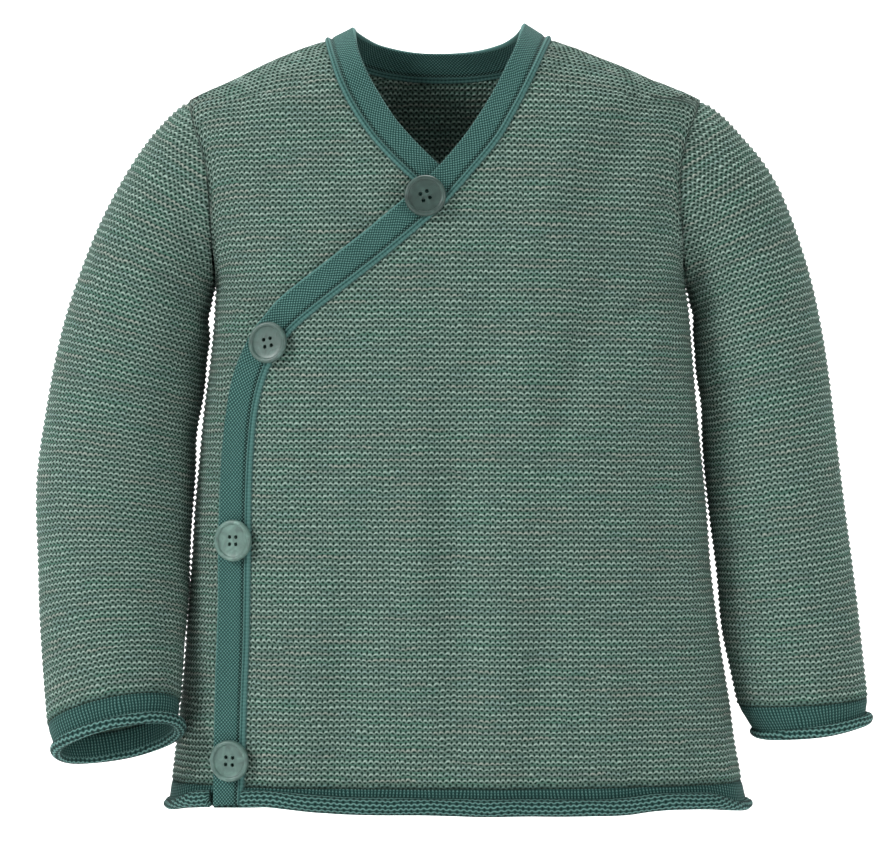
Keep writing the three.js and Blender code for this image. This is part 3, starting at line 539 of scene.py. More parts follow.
def surface(shade, colour, roughness, height, bump, sheen, specular=0.25):
    """The last nodes of a material: a bump from height, the shader and the output."""
    normal = shade.node("Bump", None, {"Height": height, "Strength": 1.0, "Distance": bump * MM})
    body = shade.node("BsdfPrincipled", None, {
        "Base Color": colour,
        "Roughness": roughness,
        "Normal": normal,
        "Sheen Weight": sheen,
        "Sheen Roughness": 0.6,
        "Specular IOR Level": specular,
    })
    shade.node("OutputMaterial", None, {"Surface": body})


def hole(across, up, wide, high):
    """A soft-edged hole mask for painted shade, from the distance to its middle over its half sizes.
    """
    far = (across / wide) ** 2 + (up / high) ** 2
    return 1 - far.between(0.25, 1.25)


def knit_material(name):
    """Purl stitches: a light arc over a hole in each, and a hole between arcs, with painted shade in
    the holes.
    """
    material, shade = shader(name)
    grid = shade.node("UVMap", {"uv_map": "stitches"})
    first = shade.node("SeparateXYZ", None, {"Vector": grid})
    sway = shade.noise(grid, 0.21)
    drift = shade.noise(grid, 0.33, 2.0)
    u = first + (sway - 0.5) * 0.9
    v = first.output(1) + (drift - 0.5) * 0.7
    across = u.fraction() - 0.5
    up = v.fraction()
    own = shade.node("TexWhiteNoise", {"noise_dimensions": "2D"},
                     {"Vector": shade.place(u.whole(), v.whole())})
    arc_line = 0.70 - across * across * 1.5
    arc = 1 - (up - arc_line).size().between(0.05, 0.24)
    # The crown makes each arc lightest at its top and darker towards its ends, a painted highlight on
    # the rounded loop; it also shapes the bump.
    crown = 1 - (across.size() * 2) ** 1.6 * 0.62
    # The holes under and between the arcs: masks for painted shade.
    under = hole(across, up - 0.30, 0.27, 0.20)
    beside = (v - 0.34).fraction() - 0.5
    gap = hole(0.5 - across.size(), beside, 0.21, 0.26)
    dark = under.maths("MAXIMUM", under, gap)
    fibre = shade.noise(grid, 7.0, 3.0)
    bright = arc * crown * (0.72 + own * 0.4) * (0.7 + fibre * 0.6)
    long_place = shade.place(first * 0.085, first.output(1).whole() * 3.7)
    streak = shade.noise(long_place, 1.0, 0.0)
    short_place = shade.place(first * 0.16, first.output(1).whole() * 5.3 + 40)
    other = shade.noise(short_place, 1.0, 0.0)
    light = (streak.between(0.60, 0.70) * 0.45).mixed(SAGE, PINKISH)
    light = (other.between(0.62, 0.72) * 0.35).mixed(light, BLUISH)
    middle = ((1 - streak).between(0.58, 0.7) * 0.4).mixed(SAGE_SHADE, GREENISH)
    foot = 1 - v.between(0.55, 1.05)
    light = (foot * 0.85).mixed(light, TEAL_FOOT)
    middle = (foot * 0.6).mixed(middle, TEAL_STRAND_AND_HOLE_SHADE)
    # Painted shade: the dark teal colour laid into the holes.
    colour = dark.mixed(middle, TEAL_STRAND_AND_HOLE_SHADE)
    colour = bright.at_most_one().mixed(colour, light)
    height = arc * crown * 0.8 + (1 - dark) * 0.35 + fibre * 0.12
    surface(shade, colour, 0.95, height, 0.75, 0.03, 0.15)
    return material


knit = knit_material("sage_knit")
front_rows = RowMap(FRONT)
EDGE_COLUMNS = "join_x join_z free_x free_z"
RIGHT_EDGE = table(EDGE_COLUMNS, [
    (-52.8, 1.3, -40, 7.9), (-49.5, -10.1, -38, -3.3), (-45.9, -20.5, -33.6, -14.9),
    (-40.2, -31.8, -27.9, -25.3), (-32.1, -43.9, -20.8, -36.2), (-22.9, -54.3, -12.3, -45.9),
    (-12.2, -64.4, -2.1, -55.9), (-1.9, -73.8, 8.7, -65), (7.3, -84.5, 19.4, -77.7),
    (12, -98.1, 25.8, -95.2), (13, -116.6, 27.1, -116.6), (13.2, -218.2, 27.5, -218.2),
    (13.6, -328.9, 27.9, -329),
])


def no_lift(x, z):
    return 0 * x


TUCK = 0.5
TUCK_REACH = 1.3


def tuck(distance):
    """How far an edge turns in towards its seam, at a distance from it."""
    return TUCK * np.exp(-(distance / TUCK_REACH) ** 2)


def front_grid(edge, toward, columns, lift):
    """A front panel's points: each row runs from the band's join to the outer seam."""
    outer, inner, uv = [], [], []
    seam_up = front_rows.up[:, -1]
    q = front_rows.q * toward
    order = np.argsort(q)
    step = 0
    while True:
        up = step * ROW / RIDGE_STEPS
        z, x, along = front_rows.row(up)
        beyond = (x - curve_at(edge, "join_z", z, "join_x")) * toward
        start_q = np.interp(0, beyond[order], q[order])
        tail = (q[order] > 0.3) & (seam_up[order] < up)
        end_q = 1.0
        if tail.any():
            last = np.argmax(tail)
            end_q = np.interp(-up, -seam_up[order][last - 1:last + 1], q[order][last - 1:last + 1])
        start, end = np.interp([start_q, end_q], q[order], along[order] * toward)
        if end - start < 1.2:
            break
        s = spread_columns(start, end, columns)
        at_q = np.interp(s, along[order] * toward, q[order])
        at_z = np.interp(at_q, q[order], z[order])
        at_x = middle_at(at_z) + at_q * toward * half_at(at_z)
        shift = lift(at_x, at_z) - crease_depth(FRONT, at_x, at_z)
        shift = shift - tuck(s - start) - tuck(end - s) - tuck(up)
        count = up / ROW
        outer.append(body_point(FRONT, at_x, at_z, shift + ridge(count, RIDGE_OUT)))
        inner.append(body_point(FRONT, at_x, at_z, shift - WALL - ridge(count, RIDGE_IN)))
        uv.append(np.stack([s * toward / STITCH, np.full(len(s), count)], -1))
        step += 1
    return np.array(outer), np.array(inner), np.array(uv)


right_front = closed_wall("right_front_cloth", *front_grid(RIGHT_EDGE, -1, 40, no_lift), knit)
cloth(right_front, "right_front", ["back"])

# The left front: the wide panel that wraps over the right one, knitted to a slanted front
# edge in the same two strands. It comes down to the body at its shoulder and side seams.
OVERLAP_LIFT = 3.6
LEFT_EDGE = table(EDGE_COLUMNS, [
    (47, 2, 34.3, 9.4), (42.1, -9.2, 31.1, -1.5), (36.1, -22.4, 26, -13.3),
    (30.4, -33.8, 19.9, -25.5), (23.5, -45.8, 12, -38.7), (12.1, -59.8, 1.6, -52.1),
    (-0.9, -74.4, -10.3, -64.7), (-14.9, -87.1, -22.9, -75.3), (-35.5, -104, -44, -92.3),
    (-54.5, -119, -63.6, -107.7), (-65.5, -129.1, -75.8, -118.9),
    (-72.5, -140.7, -84.6, -133.8), (-76.8, -153.3, -90.2, -149.3),
    (-79.6, -169.9, -93.3, -169.9), (-81.1, -199, -95.3, -199.2),
    (-81.9, -247.6, -96.2, -248.1), (-83.4, -286.6, -97.6, -287.2),
    (-85.2, -329.6, -98.5, -330.2),
])


def left_front_lift(x, z):
    return OVERLAP_LIFT * (1 - smooth(x, 34, 92)) * (1 - smooth(z, -42, -6))


left_front = closed_wall("left_front_cloth", *front_grid(LEFT_EDGE, 1, 60, left_front_lift), knit)
cloth(left_front, "left_front", ["right_front", "back"])

# The back: one knitted panel, as wide as both fronts together, with sloped shoulders and
# a shallow curve at the neck. It is linked to the fronts at the shoulders and sides.
back_rows = RowMap(BACK)
NECK_EDGE = table(EDGE_COLUMNS, [
    (47, 2, 34.3, 9.4), (43.7, -2.5, 31.6, 6.9), (34.8, -7.7, 25.5, 3.7),
    (19.5, -12, 14.3, 1.2), (0, -13.4, -1, 0), (-19.5, -12.2, -14.9, 0.6),
    (-36.8, -7.9, -29.1, 3.3), (-48.2, -2.7, -36.9, 6.5), (-52.8, 1.3, -40, 7.9),
])
NECK_COLUMNS = 40
SHOULDER_COLUMNS = 25


def back_grid():
    """The back's points. Columns over the neck stop at its edge, where they merge."""
    outer, inner, uv = [], [], []
    seam_up = back_rows.up[:, -1]
    q = back_rows.q
    neck_left = NECK_EDGE["join_x"][0] / SHOULDER_HALF
    neck_right = NECK_EDGE["join_x"][-1] / SHOULDER_HALF
    highest = max(np.interp(neck_left, q, seam_up), np.interp(neck_right, q, seam_up))
    for step in range(int(highest * RIDGE_STEPS / ROW) + 2):
        up = step * ROW / RIDGE_STEPS
        z, x, along = back_rows.row(up)
        middle = len(q) // 2
        left_q = right_q = 1.0
        if seam_up[-1] < up:
            left_q = np.interp(-up, -seam_up[middle:], q[middle:])
        if seam_up[0] < up:
            right_q = np.interp(-up, -seam_up[middle::-1], -q[middle::-1])
        left_q = max(left_q, neck_left)
        right_q = min(-right_q, neck_right)
        ends = np.interp([right_q, neck_right, neck_left, left_q], q, along)
        s = np.concatenate([
            spread_columns(ends[0], ends[1], SHOULDER_COLUMNS)[:-1],
            np.linspace(ends[1], ends[2], NECK_COLUMNS),
            spread_columns(ends[2], ends[3], SHOULDER_COLUMNS)[1:],
        ])
        at_q = np.interp(s, along, q)
        at_z = np.interp(at_q, q, z)
        at_x = middle_at(at_z) + at_q * half_at(at_z)
        in_neck = (at_x > NECK_EDGE["join_x"][-1]) & (at_x < NECK_EDGE["join_x"][0])
        neck_z = np.where(in_neck, curve_at(NECK_EDGE, "join_x", at_x, "join_z"), 1000)
        capped = np.minimum(at_z, neck_z)
        height = np.full(len(s), up)
        over = capped < at_z
        if over.any():
            height[over] = back_rows.up_at(at_q[over], capped[over])
        shift = -crease_depth(BACK, at_x, capped)
        shift = shift - tuck(s - s[0]) - tuck(s[-1] - s) - tuck(height)
        count = height / ROW
        outer.append(body_point(BACK, at_x, capped, shift + ridge(count, RIDGE_OUT)))
        inner.append(body_point(BACK, at_x, capped, shift - WALL - ridge(count, RIDGE_IN)))
        uv.append(np.stack([-s / STITCH, count], -1))
    return np.array(outer), np.array(inner), np.array(uv)


back = closed_wall("back_cloth", *back_grid(), knit)
cloth(back, "back", ["left_front", "right_front"])

# The sleeves: each is one knitted tube, shaped to a cap at the top and narrower at the
# wrist, with its seam under the arm. It is linked into the armhole, and hangs a little
# bent, so that its rows lie square to the arm and fan out round the shoulder.
SLEEVE_COLUMNS = "t out_x out_z in_x in_z deep y tip"
RIGHT_SLEEVE = table(SLEEVE_COLUMNS, [
    (0, -112.3, -24.3, -101.2, -107.6, 29, 0, 0), (1, -121, -31.6, -101.8, -109.4, 29.3, 0, 0),
    (2, -130, -41.6, -102.1, -111.4, 29.8, 0, 0), (3, -138, -53, -102.5, -114.2, 30.4, 0, 0),
    (4, -145, -65, -102.9, -118, 31, 0, 0), (5, -151, -77, -103.2, -123, 31.4, 0, 0),
    (6, -157, -91, -103.2, -130, 31.6, -0.5, 0), (7, -163, -107, -104.2, -139, 31.6, -1, 0),
    (8, -168, -125, -105.5, -151, 31.4, -2, 1), (10, -175.2, -163, -108.5, -180, 30.6, -6, 4),
    (12, -178.9, -203, -110.6, -213, 28.6, -12, 9),
    (14, -176.4, -246, -111.8, -249, 25.4, -20, 16),
    (16, -171.6, -298, -114.6, -286.5, 22, -29, 23),
])
LEFT_SLEEVE = table(SLEEVE_COLUMNS, [
    (0, 112.3, -24.3, 106, -107.6, 29, 0, 0), (1, 122, -31.5, 106.6, -109.2, 29.3, 0, 0),
    (2, 131, -41, 107, -111, 29.8, 0, 0), (3, 139.5, -51, 107.4, -113.4, 30.2, 0, 0),
    (4, 146.3, -62, 107.9, -116.6, 30.4, 0, 0), (5, 151.5, -74, 108.3, -121, 30.4, 0, 0),
    (6, 156, -87, 108.8, -127, 30.2, -0.5, 0), (7, 160.5, -101, 109.4, -135, 30, -1, 0),
    (8, 164, -117, 110.1, -145, 29.6, -1.5, 0), (10, 170, -156, 112.7, -174, 28.6, -2.5, -1),
    (12, 175.3, -198.5, 115.9, -210.5, 26.8, -3.5, -2),
    (14, 180.2, -242, 120.1, -250, 24.6, -5, -3), (16, 185, -286.5, 128.4, -290, 22, -7, -2),
])
# How steeply the rows rise towards the outside of the arm, in degrees.
RIGHT_ROWS = table("t rise", [(0, 31), (4, 23), (8, 14), (10, 9), (12, 4), (14, -3), (16, -11.1)])
LEFT_ROWS = table("t rise", [(0, 31), (4, 23), (8, 15), (10, 11), (12, 8.5), (14, 6), (16, 3.6)])
# Creases across the sleeves. turn counts round from the outer edge through the front.
RIGHT_CREASES = [
    dict(at=4.6, wide=0.9, turn=140, deep=1.5), dict(at=9.4, wide=0.8, turn=200, deep=1.3),
    dict(at=13, wide=0.9, turn=60, deep=1.4), dict(at=6.9, wide=0.7, turn=120, deep=0.8),
    dict(at=11.2, wide=0.7, turn=95, deep=-0.7), dict(at=14.6, wide=0.5, turn=120, deep=0.8),
    dict(at=11.4, wide=0.8, turn=280, deep=0.9),
]
LEFT_CREASES = [
    dict(at=4.8, wide=0.9, turn=140, deep=1.5), dict(at=9, wide=0.8, turn=210, deep=1.3),
    dict(at=13.2, wide=0.9, turn=170, deep=1.3), dict(at=7, wide=0.7, turn=110, deep=0.7),
    dict(at=11, wide=0.8, turn=70, deep=0.8), dict(at=14.4, wide=0.6, turn=100, deep=-0.6),
    dict(at=11.8, wide=0.8, turn=290, deep=0.9),
]
SLEEVE_END = 16
SLEEVE_SEAM_GAP = 0.1
ARMHOLE_BLEND = 1.4
CAP_BLEND = 0.3


def sleeve_point(rings, creases, t, turn):
    """A point of the sleeve's outer face, t rings down it and turned round it."""
    get = {c: curve_at(rings, "t", t, c) for c in rings if c != "t"}
    tip = np.radians(get["tip"])
    middle = np.stack([(get["out_x"] + get["in_x"]) / 2, get["y"],
                       (get["out_z"] + get["in_z"]) / 2], -1)
    across = np.stack([(get["out_x"] - get["in_x"]) / 2, 0 * t,
                       (get["out_z"] - get["in_z"]) / 2], -1)
    front = np.stack([0 * t, -np.cos(tip), np.sin(tip)], -1) * get["deep"][..., None]
    p = middle + across * np.cos(turn)[..., None] + front * np.sin(turn)[..., None]
    outward = np.sign(rings["out_x"][0])
    seam_x = middle_at(p[..., 2]) + outward * (half_at(p[..., 2]) + SLEEVE_SEAM_GAP)
    blend = lerp(ARMHOLE_BLEND, CAP_BLEND, smooth(np.cos(turn), 0.4, 1))
    p[..., 0] = lerp(seam_x, p[..., 0], np.clip(t / blend, 0, 1))
    inward = middle - p
    inward = unit(inward)
    for c in creases:
        facing = (1 + np.cos(turn - math.radians(c["turn"]))) / 2
        off = (t - c["at"]) / c["wide"]
        p = p + inward * (c["deep"] * facing ** 2 * np.exp(-off * off))[..., None]
    return p


def sleeve_normal(rings, creases, t, turn):
    e = 0.02
    along = (sleeve_point(rings, creases, np.minimum(t + e, SLEEVE_END), turn)
             - sleeve_point(rings, creases, np.maximum(t - e, 0), turn))
    around = (sleeve_point(rings, creases, t, turn + e)
              - sleeve_point(rings, creases, t, turn - e))
    normal = np.cross(along, around)
    here = sleeve_point(rings, creases, t, turn)
    out = here - sleeve_point(rings, creases, t, turn + np.pi)
    normal = normal * np.sign((normal * out).sum(-1))[..., None]
    normal = unit(normal)
    z = here[..., 2]
    x = middle_at(z) + np.sign(here[..., 0]) * half_at(z)
    body = np.where((np.sin(turn) > 0)[..., None], body_normal(FRONT, x, z), body_normal(BACK, x, z))
    near = (1 - smooth(t, 0, 0.5)) * smooth(np.cos(turn), -0.1, 0.5)
    return unit(lerp(normal, body, near[..., None]))


def row_planes(rings, rises):
    """Where each knit row's plane lies: its middle, its normal and its distance down."""
    t = np.linspace(0, SLEEVE_END, 161)
    rise = np.radians(curve_at(rises, "t", t, "rise"))
    tip = np.radians(curve_at(rings, "t", t, "tip"))
    outward = np.sign(rings["out_x"][0])
    middle = np.stack([
        (curve_at(rings, "t", t, "out_x") + curve_at(rings, "t", t, "in_x")) / 2,
        curve_at(rings, "t", t, "y"),
        (curve_at(rings, "t", t, "out_z") + curve_at(rings, "t", t, "in_z")) / 2,
    ], -1)
    across = np.stack([outward * np.cos(rise), 0 * t, np.sin(rise)], -1)
    front = np.stack([0 * t, -np.cos(tip), np.sin(tip)], -1)
    normal = np.cross(across, front)
    normal = normal * -np.sign(normal[:, 2])[:, None]
    above = middle[0] - normal[0] * np.linspace(60, 2, 30)[:, None]
    middle = np.concatenate([above, middle])
    normal = np.concatenate([np.repeat(normal[:1], 30, 0), normal])
    steps = (np.diff(middle, axis=0) * (normal[1:] + normal[:-1]) / 2).sum(-1)
    return middle, normal, np.concatenate([[0], np.cumsum(steps)])


def row_distance(planes, points):
    """How far down the rows each point lies."""
    middle, normal, down = planes
    flat = points.reshape(-1, 3)
    past = (flat @ normal.T) - (middle * normal).sum(-1)
    i = np.clip((past > 0).sum(-1) - 1, 0, len(down) - 2)
    pick = np.arange(len(flat))
    a, b = past[pick, i], past[pick, i + 1]
    return (down[i] + (down[i + 1] - down[i]) * a / (a - b)).reshape(points.shape[:-1])


SLEEVE_AROUND = 84
SLEEVE_LEVELS = 321


def sleeve_grid(rings, creases, rises):
    """The sleeve's points: columns round the arm, rows up from the wrist."""
    planes = row_planes(rings, rises)
    turn = np.linspace(-np.pi, np.pi, SLEEVE_AROUND + 1)
    t = np.linspace(0, SLEEVE_END, SLEEVE_LEVELS)
    rays = sleeve_point(rings, creases, t[:, None] + 0 * turn, turn + 0 * t[:, None])
    down = row_distance(planes, rays)
    wrist = down[-1].max()
    seam = down[0]
    levels = np.arange(0, wrist - seam.min() + ROW / RIDGE_STEPS, ROW / RIDGE_STEPS)
    at_t = np.array([np.interp(wrist - levels, down[:, j], t) for j in range(len(turn))]).T
    count = np.clip(levels[:, None], wrist - down[-1], wrist - seam) / ROW
    full = turn + 0 * at_t
    normal = sleeve_normal(rings, creases, at_t, full)
    base = sleeve_point(rings, creases, at_t, full)
    from_seam = (wrist - seam) - count * ROW
    shift = 0.22 * uneven(base[..., 2], full * 32, 11) - tuck(from_seam * 0.9) - tuck(count * ROW)
    steps = np.linalg.norm(np.diff(base, axis=1), axis=-1)
    along = np.concatenate([np.zeros((len(levels), 1)), np.cumsum(steps, 1)], 1)
    along = along - along[:, SLEEVE_AROUND // 2][:, None]
    outer = base + normal * (shift + ridge(count, RIDGE_OUT))[..., None]
    inner = base + normal * (shift - WALL - ridge(count, RIDGE_IN))[..., None]
    return outer, inner, np.stack([along / STITCH, count], -1)


for name, node, rings, creases, rises in (
    ("right_sleeve_cloth", "right_sleeve", RIGHT_SLEEVE, RIGHT_CREASES, RIGHT_ROWS),
    ("left_sleeve_cloth", "left_sleeve", LEFT_SLEEVE, LEFT_CREASES, LEFT_ROWS),
):
    sleeve = closed_wall(name, *sleeve_grid(rings, creases, rises), knit, wrap=True)
    front = "right_front" if node == "right_sleeve" else "left_front"
    cloth(sleeve, node, [front, "back"])

# The front band: one long strip of fine knit in the dark teal strand, linked on along both
# fronts' edges and round the back of the neck. A narrow ridge like piping stands at its
# join, the band lies flat beyond it, and its free edge is folded.
BAND_SECTION = table("across outer inner", [
    (0, -0.9, -1.6), (0.02, -0.3, -2.0), (0.05, 0.5, -2.2), (0.09, 1.0, -2.2),
    (0.13, 1.2, -2.2), (0.17, 1.0, -2.2), (0.205, 0.4, -2.2), (0.23, -0.35, -2.2),
    (0.26, -0.3, -2.2), (0.31, 0.05, -2.2), (0.40, 0.15, -2.2), (0.50, 0.15, -2.2),
    (0.60, 0.15, -2.2), (0.70, 0.15, -2.2), (0.80, 0.15, -2.2), (0.88, 0.2, -2.2),
    (0.93, 0.3, -2.2), (0.965, 0.15, -2.1), (0.985, -0.3, -1.9), (1, -0.9, -1.6),
])
BAND_SEAM_GAP = -0.25
BAND_STEP = 1.3
# The first trim colour is a painted highlight on the raised loops and the third is painted shade in
# the gaps, both on the one dark teal strand.
TRIM_LOOP_HIGHLIGHT = rgb(104, 142, 136)
TRIM_TEAL = rgb(40, 78, 74)
TRIM_GAP_SHADE = rgb(8, 34, 31)
TRIM_PLAIN = rgb(54, 94, 90)
BAND_WIDE = 14.8
BAND_STITCH = 1.33
BAND_ROW = 1.61


def trim_colour(light, dark, ground):
    """The trim's colour: a ground with painted shade in the gaps and painted highlights on the raised
    strands.
    """
    return light.at_most_one().mixed(dark.at_most_one().mixed(ground, TRIM_GAP_SHADE), TRIM_LOOP_HIGHLIGHT)


def band_material(name):
    """Fine purl knit in a lattice of small dots, a chained ridge and a plain fold."""
    material, shade = shader(name)
    grid = shade.node("UVMap", {"uv_map": "stitches"})
    first = shade.node("SeparateXYZ", None, {"Vector": grid})
    along = first.output(1)
    sway = shade.noise(grid, 0.11)
    u = (first + (sway - 0.5) * 0.9) / BAND_STITCH
    v = (along + (sway - 0.5) * 0.7) / BAND_ROW
    fibre = shade.noise(grid, 2.9, 3.0)
    lattice = u.wave() * v.wave()
    ridge_mask = 1 - first.between(BAND_WIDE * 0.19, BAND_WIDE * 0.22)
    fold = first.between(BAND_WIDE * 0.895, BAND_WIDE * 0.925)
    plain = fold.maths("MAXIMUM", fold, ridge_mask)
    groove = hole(first - BAND_WIDE * 0.24, 0, 0.95, 1)
    start = hole(first - BAND_WIDE * 0.01, 0, 0.5, 1)
    beads = v.wave() * 0.5 + 0.5
    spine = hole(first - BAND_WIDE * 0.125, 0, 0.42, 1)
    chain = (1 - spine) * (0.45 + beads * 0.55)
    dots = (lattice * 0.5 + 0.5) * (0.6 + fibre * 0.8)
    # Painted highlights on the raised dots, the chain and the fold, and painted shade in the gaps,
    # down the chain's middle, in the groove and at the join.
    light = dots.between(0.55, 1.0) * (1 - plain) * 0.85
    light = light + chain * ridge_mask * fibre * 0.75 + fold * fibre * 0.6
    dark = (1 - dots.between(0.08, 0.5)) * (1 - plain) * 0.9
    dark = dark + spine * ridge_mask * (1 - beads * 0.7) * 0.7 + groove * 0.75 + start * 0.8
    ground = (plain * 0.75).mixed(TRIM_TEAL, TRIM_PLAIN)
    height = lattice * (1 - plain) * 0.35 + chain * ridge_mask * 0.6 + fibre * 0.2
    surface(shade, trim_colour(light, dark, ground), 0.95, height, 0.4, 0.02, 0.15)
    return material


def band_stations():
    """The band's edges, station by station, up the left front, round the neck and down."""
    z_left = np.linspace(LEFT_EDGE["join_z"][-1], LEFT_EDGE["join_z"][0], 3000)
    z_right = np.linspace(RIGHT_EDGE["join_z"][0], RIGHT_EDGE["join_z"][-1], 3000)
    x_neck = np.linspace(NECK_EDGE["join_x"][0], NECK_EDGE["join_x"][-1], 900)[1:-1]
    runs = []
    for edge, key, values, side, lift in (
        (LEFT_EDGE, "join_z", z_left, FRONT, left_front_lift),
        (NECK_EDGE, "join_x", x_neck, BACK, no_lift),
        (RIGHT_EDGE, "join_z", z_right, FRONT, no_lift),
    ):
        ends = {c: values if c == key else curve_at(edge, key, values, c) for c in edge}
        runs.append((ends, side, lift))
    return runs


def band_grid():
    share = BAND_SECTION["across"]
    rows = []
    for ends, side, lift in band_stations():
        wide = np.hypot(ends["free_x"] - ends["join_x"], ends["free_z"] - ends["join_z"])
        across = (BAND_SEAM_GAP + share * (wide[:, None] - BAND_SEAM_GAP)) / wide[:, None]
        x = lerp(ends["join_x"][:, None], ends["free_x"][:, None], across)
        z = lerp(ends["join_z"][:, None], ends["free_z"][:, None], across)
        z = np.minimum(z, top_line(x))
        rows.append((x, z, side, lift, wide))
    middle = len(share) // 2
    outer, inner, uv = [], [], []
    length = 0
    for x, z, side, lift, wide in rows:
        path = body_point(side, x[:, middle], z[:, middle], 0 * x[:, middle])
        run = run_along(path)
        stations = np.searchsorted(run, np.arange(0, run[-1], BAND_STEP))
        stations = np.append(stations, len(run) - 1)
        x, z, wide = x[stations], z[stations], wide[stations]
        place = lift(x, z) - crease_depth(side, x, z)
        outer.append(body_point(side, x, z, place + BAND_SECTION["outer"]))
        inner.append(body_point(side, x, z, place + BAND_SECTION["inner"]))
        across = share * wide[:, None]
        along = (length + run[stations])[:, None] + 0 * across
        uv.append(np.stack([across, along], -1))
        length += run[-1]
    return np.concatenate(outer), np.concatenate(inner), np.concatenate(uv)


band = closed_wall("front_band_cloth", *band_grid(), band_material("band_teal"))
cloth(band, "front_band", ["left_front", "right_front", "back"])

# The hem trim: the same dark strand, picked up along the foot of each panel. It hangs as a
# narrow strip, plain side out, and then rolls outward by itself and shows its purl side.
# It hangs lowest at the side seams, where it is also rolled tightest.
TRIM_WALL = 1.8
TRIM_START = -0.3
ROLL_STEPS = 22
ROLL_SWEEP = 285
FLAT_SHARE = 0.3
STRIP_STEPS = 5
HEM_FALL = table("x fall", [
    (-121, 13), (-108, 10), (-79, 7.8), (-66, 8.3), (-53, 9.2), (-41, 10), (0, 10.6),
    (36, 11.2), (75, 11.2), (88, 10), (100, 9.7), (113, 10.2), (131, 13.4),
])
HEM_OPEN = 3.7
HEM_TIGHT = 2.1
PURL_STITCH = 2.65
PURL_ROW = 1.42
PLAIN_STITCH = 1.5
PLAIN_ROW = 1.25


def edge_material(name):
    """Plain columns on the strip, where the row count is below zero, and waves of purl stitches with
    holes under them on the roll. The raised columns and waves get painted highlights, and the holes
    and gaps painted shade."""
    material, shade = shader(name)
    grid = shade.node("UVMap", {"uv_map": "stitches"})
    first = shade.node("SeparateXYZ", None, {"Vector": grid})
    down = first.output(1)
    sway = shade.noise(grid, 0.10)
    across = first + (sway - 0.5) * 1.6
    fibre = shade.noise(grid, 2.9, 3.0)
    rolled = down.between(-0.6, 0.3)
    u = across / PURL_STITCH
    v = (down + (sway - 0.5) * 0.8) / PURL_ROW
    waves = (v + u.wave() * (v * 0.5).wave() * 0.2).wave() * 0.5 + 0.5
    holes = (u.wave() * (v * 0.5 - 0.25).wave()).between(0.30, 0.9) * (1 - waves)
    columns = (across / PLAIN_STITCH).wave() * 0.5 + 0.5
    tilt = ((across / PLAIN_STITCH).fraction() - 0.5).size()
    knots = (down / PLAIN_ROW + tilt).wave() * 0.5 + 0.5
    plain = columns * (0.35 + knots * 0.65)
    # Painted highlights on the raised waves and columns, and painted shade in the holes and gaps.
    light = rolled * waves.between(0.45, 1.0) * (0.55 + fibre * 0.7)
    light = light * 0.85 + (1 - rolled) * plain.between(0.3, 1.0) * fibre * 1.1
    dark = rolled * ((1 - waves).between(0.3, 0.95) * 0.55 + holes * 0.7)
    dark = dark + (1 - rolled) * (1 - plain.between(0.05, 0.5)) * 0.8
    height = rolled * (waves * 0.8 - holes * 0.5) + (1 - rolled) * plain * 0.5 + fibre * 0.15
    surface(shade, trim_colour(light, dark, TRIM_TEAL), 0.95, height, 0.55, 0.02, 0.15)
    return material


def rolled_section(strip, radius, curl):
    """A strip's outer and inner points, out from the edge and down from it."""
    half = TRIM_WALL / 2
    outer, inner = [], []
    out, heading = -half, 0.0
    for i in range(STRIP_STEPS + 1):
        down = lerp(TRIM_START, strip, i / STRIP_STEPS)
        thin = half * (0.6 if i == 0 else 1)
        outer.append((out + thin, down))
        inner.append((out - thin, down))
    turn = math.radians(ROLL_SWEEP * curl) / ROLL_STEPS
    chord = 2 * (radius - half) * math.sin(math.radians(ROLL_SWEEP) / ROLL_STEPS / 2)
    step = chord * lerp(FLAT_SHARE, 1, curl ** 3)
    for i in range(ROLL_STEPS):
        heading += turn / 2
        out += math.sin(heading) * step
        down += math.cos(heading) * step
        heading += turn / 2
        thin = half * (0.55 if i == ROLL_STEPS - 1 else 1)
        outer.append((out + math.cos(heading) * thin, down - math.sin(heading) * thin))
        inner.append((out - math.cos(heading) * thin, down + math.sin(heading) * thin))
    return np.array(outer), np.array(inner)


def strip_grid(edge, normal, down, strip, radius, curl, along):
    """A rolled strip's points from its edge points and the two directions at each."""
    outer, inner, uv = [], [], []
    for i in range(len(edge)):
        section = rolled_section(strip[i], radius[i], curl[i])
        for grid, points in zip((outer, inner), section):
            grid.append(edge[i] + points[:, :1] * normal[i] + points[:, 1:] * down[i])
        middle = (section[0] + section[1]) / 2
        run = run_along(middle)
        uv.append(np.stack([np.full(len(run), along[i]), run - run[STRIP_STEPS]], -1))
    return np.array(outer), np.array(inner), np.array(uv)


def hem_radius(x):
    tight = np.maximum(smooth(x, 112, 129), smooth(-x, 104, 119))
    return lerp(HEM_OPEN, HEM_TIGHT, tight)


def hem_grid(side, x, lift, curl):
    z = np.full(len(x), HEM_Z)
    raised = lift(x, z) - crease_depth(side, x, z)
    edge = body_point(side, x, z, raised)
    normal = body_normal(side, x, z)
    lower_x = middle_at(z - 1) + (x - middle_at(z)) * half_at(z - 1) / half_at(z)
    down = body_point(side, lower_x, z - 1, raised) - edge
    down = down - normal * (down * normal).sum(-1, keepdims=True)
    down = unit(down)
    run = run_along(edge)
    fade = smooth(run, 0, 6) * smooth(run[-1] - run, 0, 6)
    radius = hem_radius(x) + 0.22 * fade * uneven(run, 0 * run, 21 + side)
    strip = curve_at(HEM_FALL, "x", x, "fall") - hem_radius(x)
    strip = strip + 0.4 * fade * uneven(run, 0 * run, 31 + side)
    return strip_grid(edge, normal, down, strip, radius, curl(x), run)


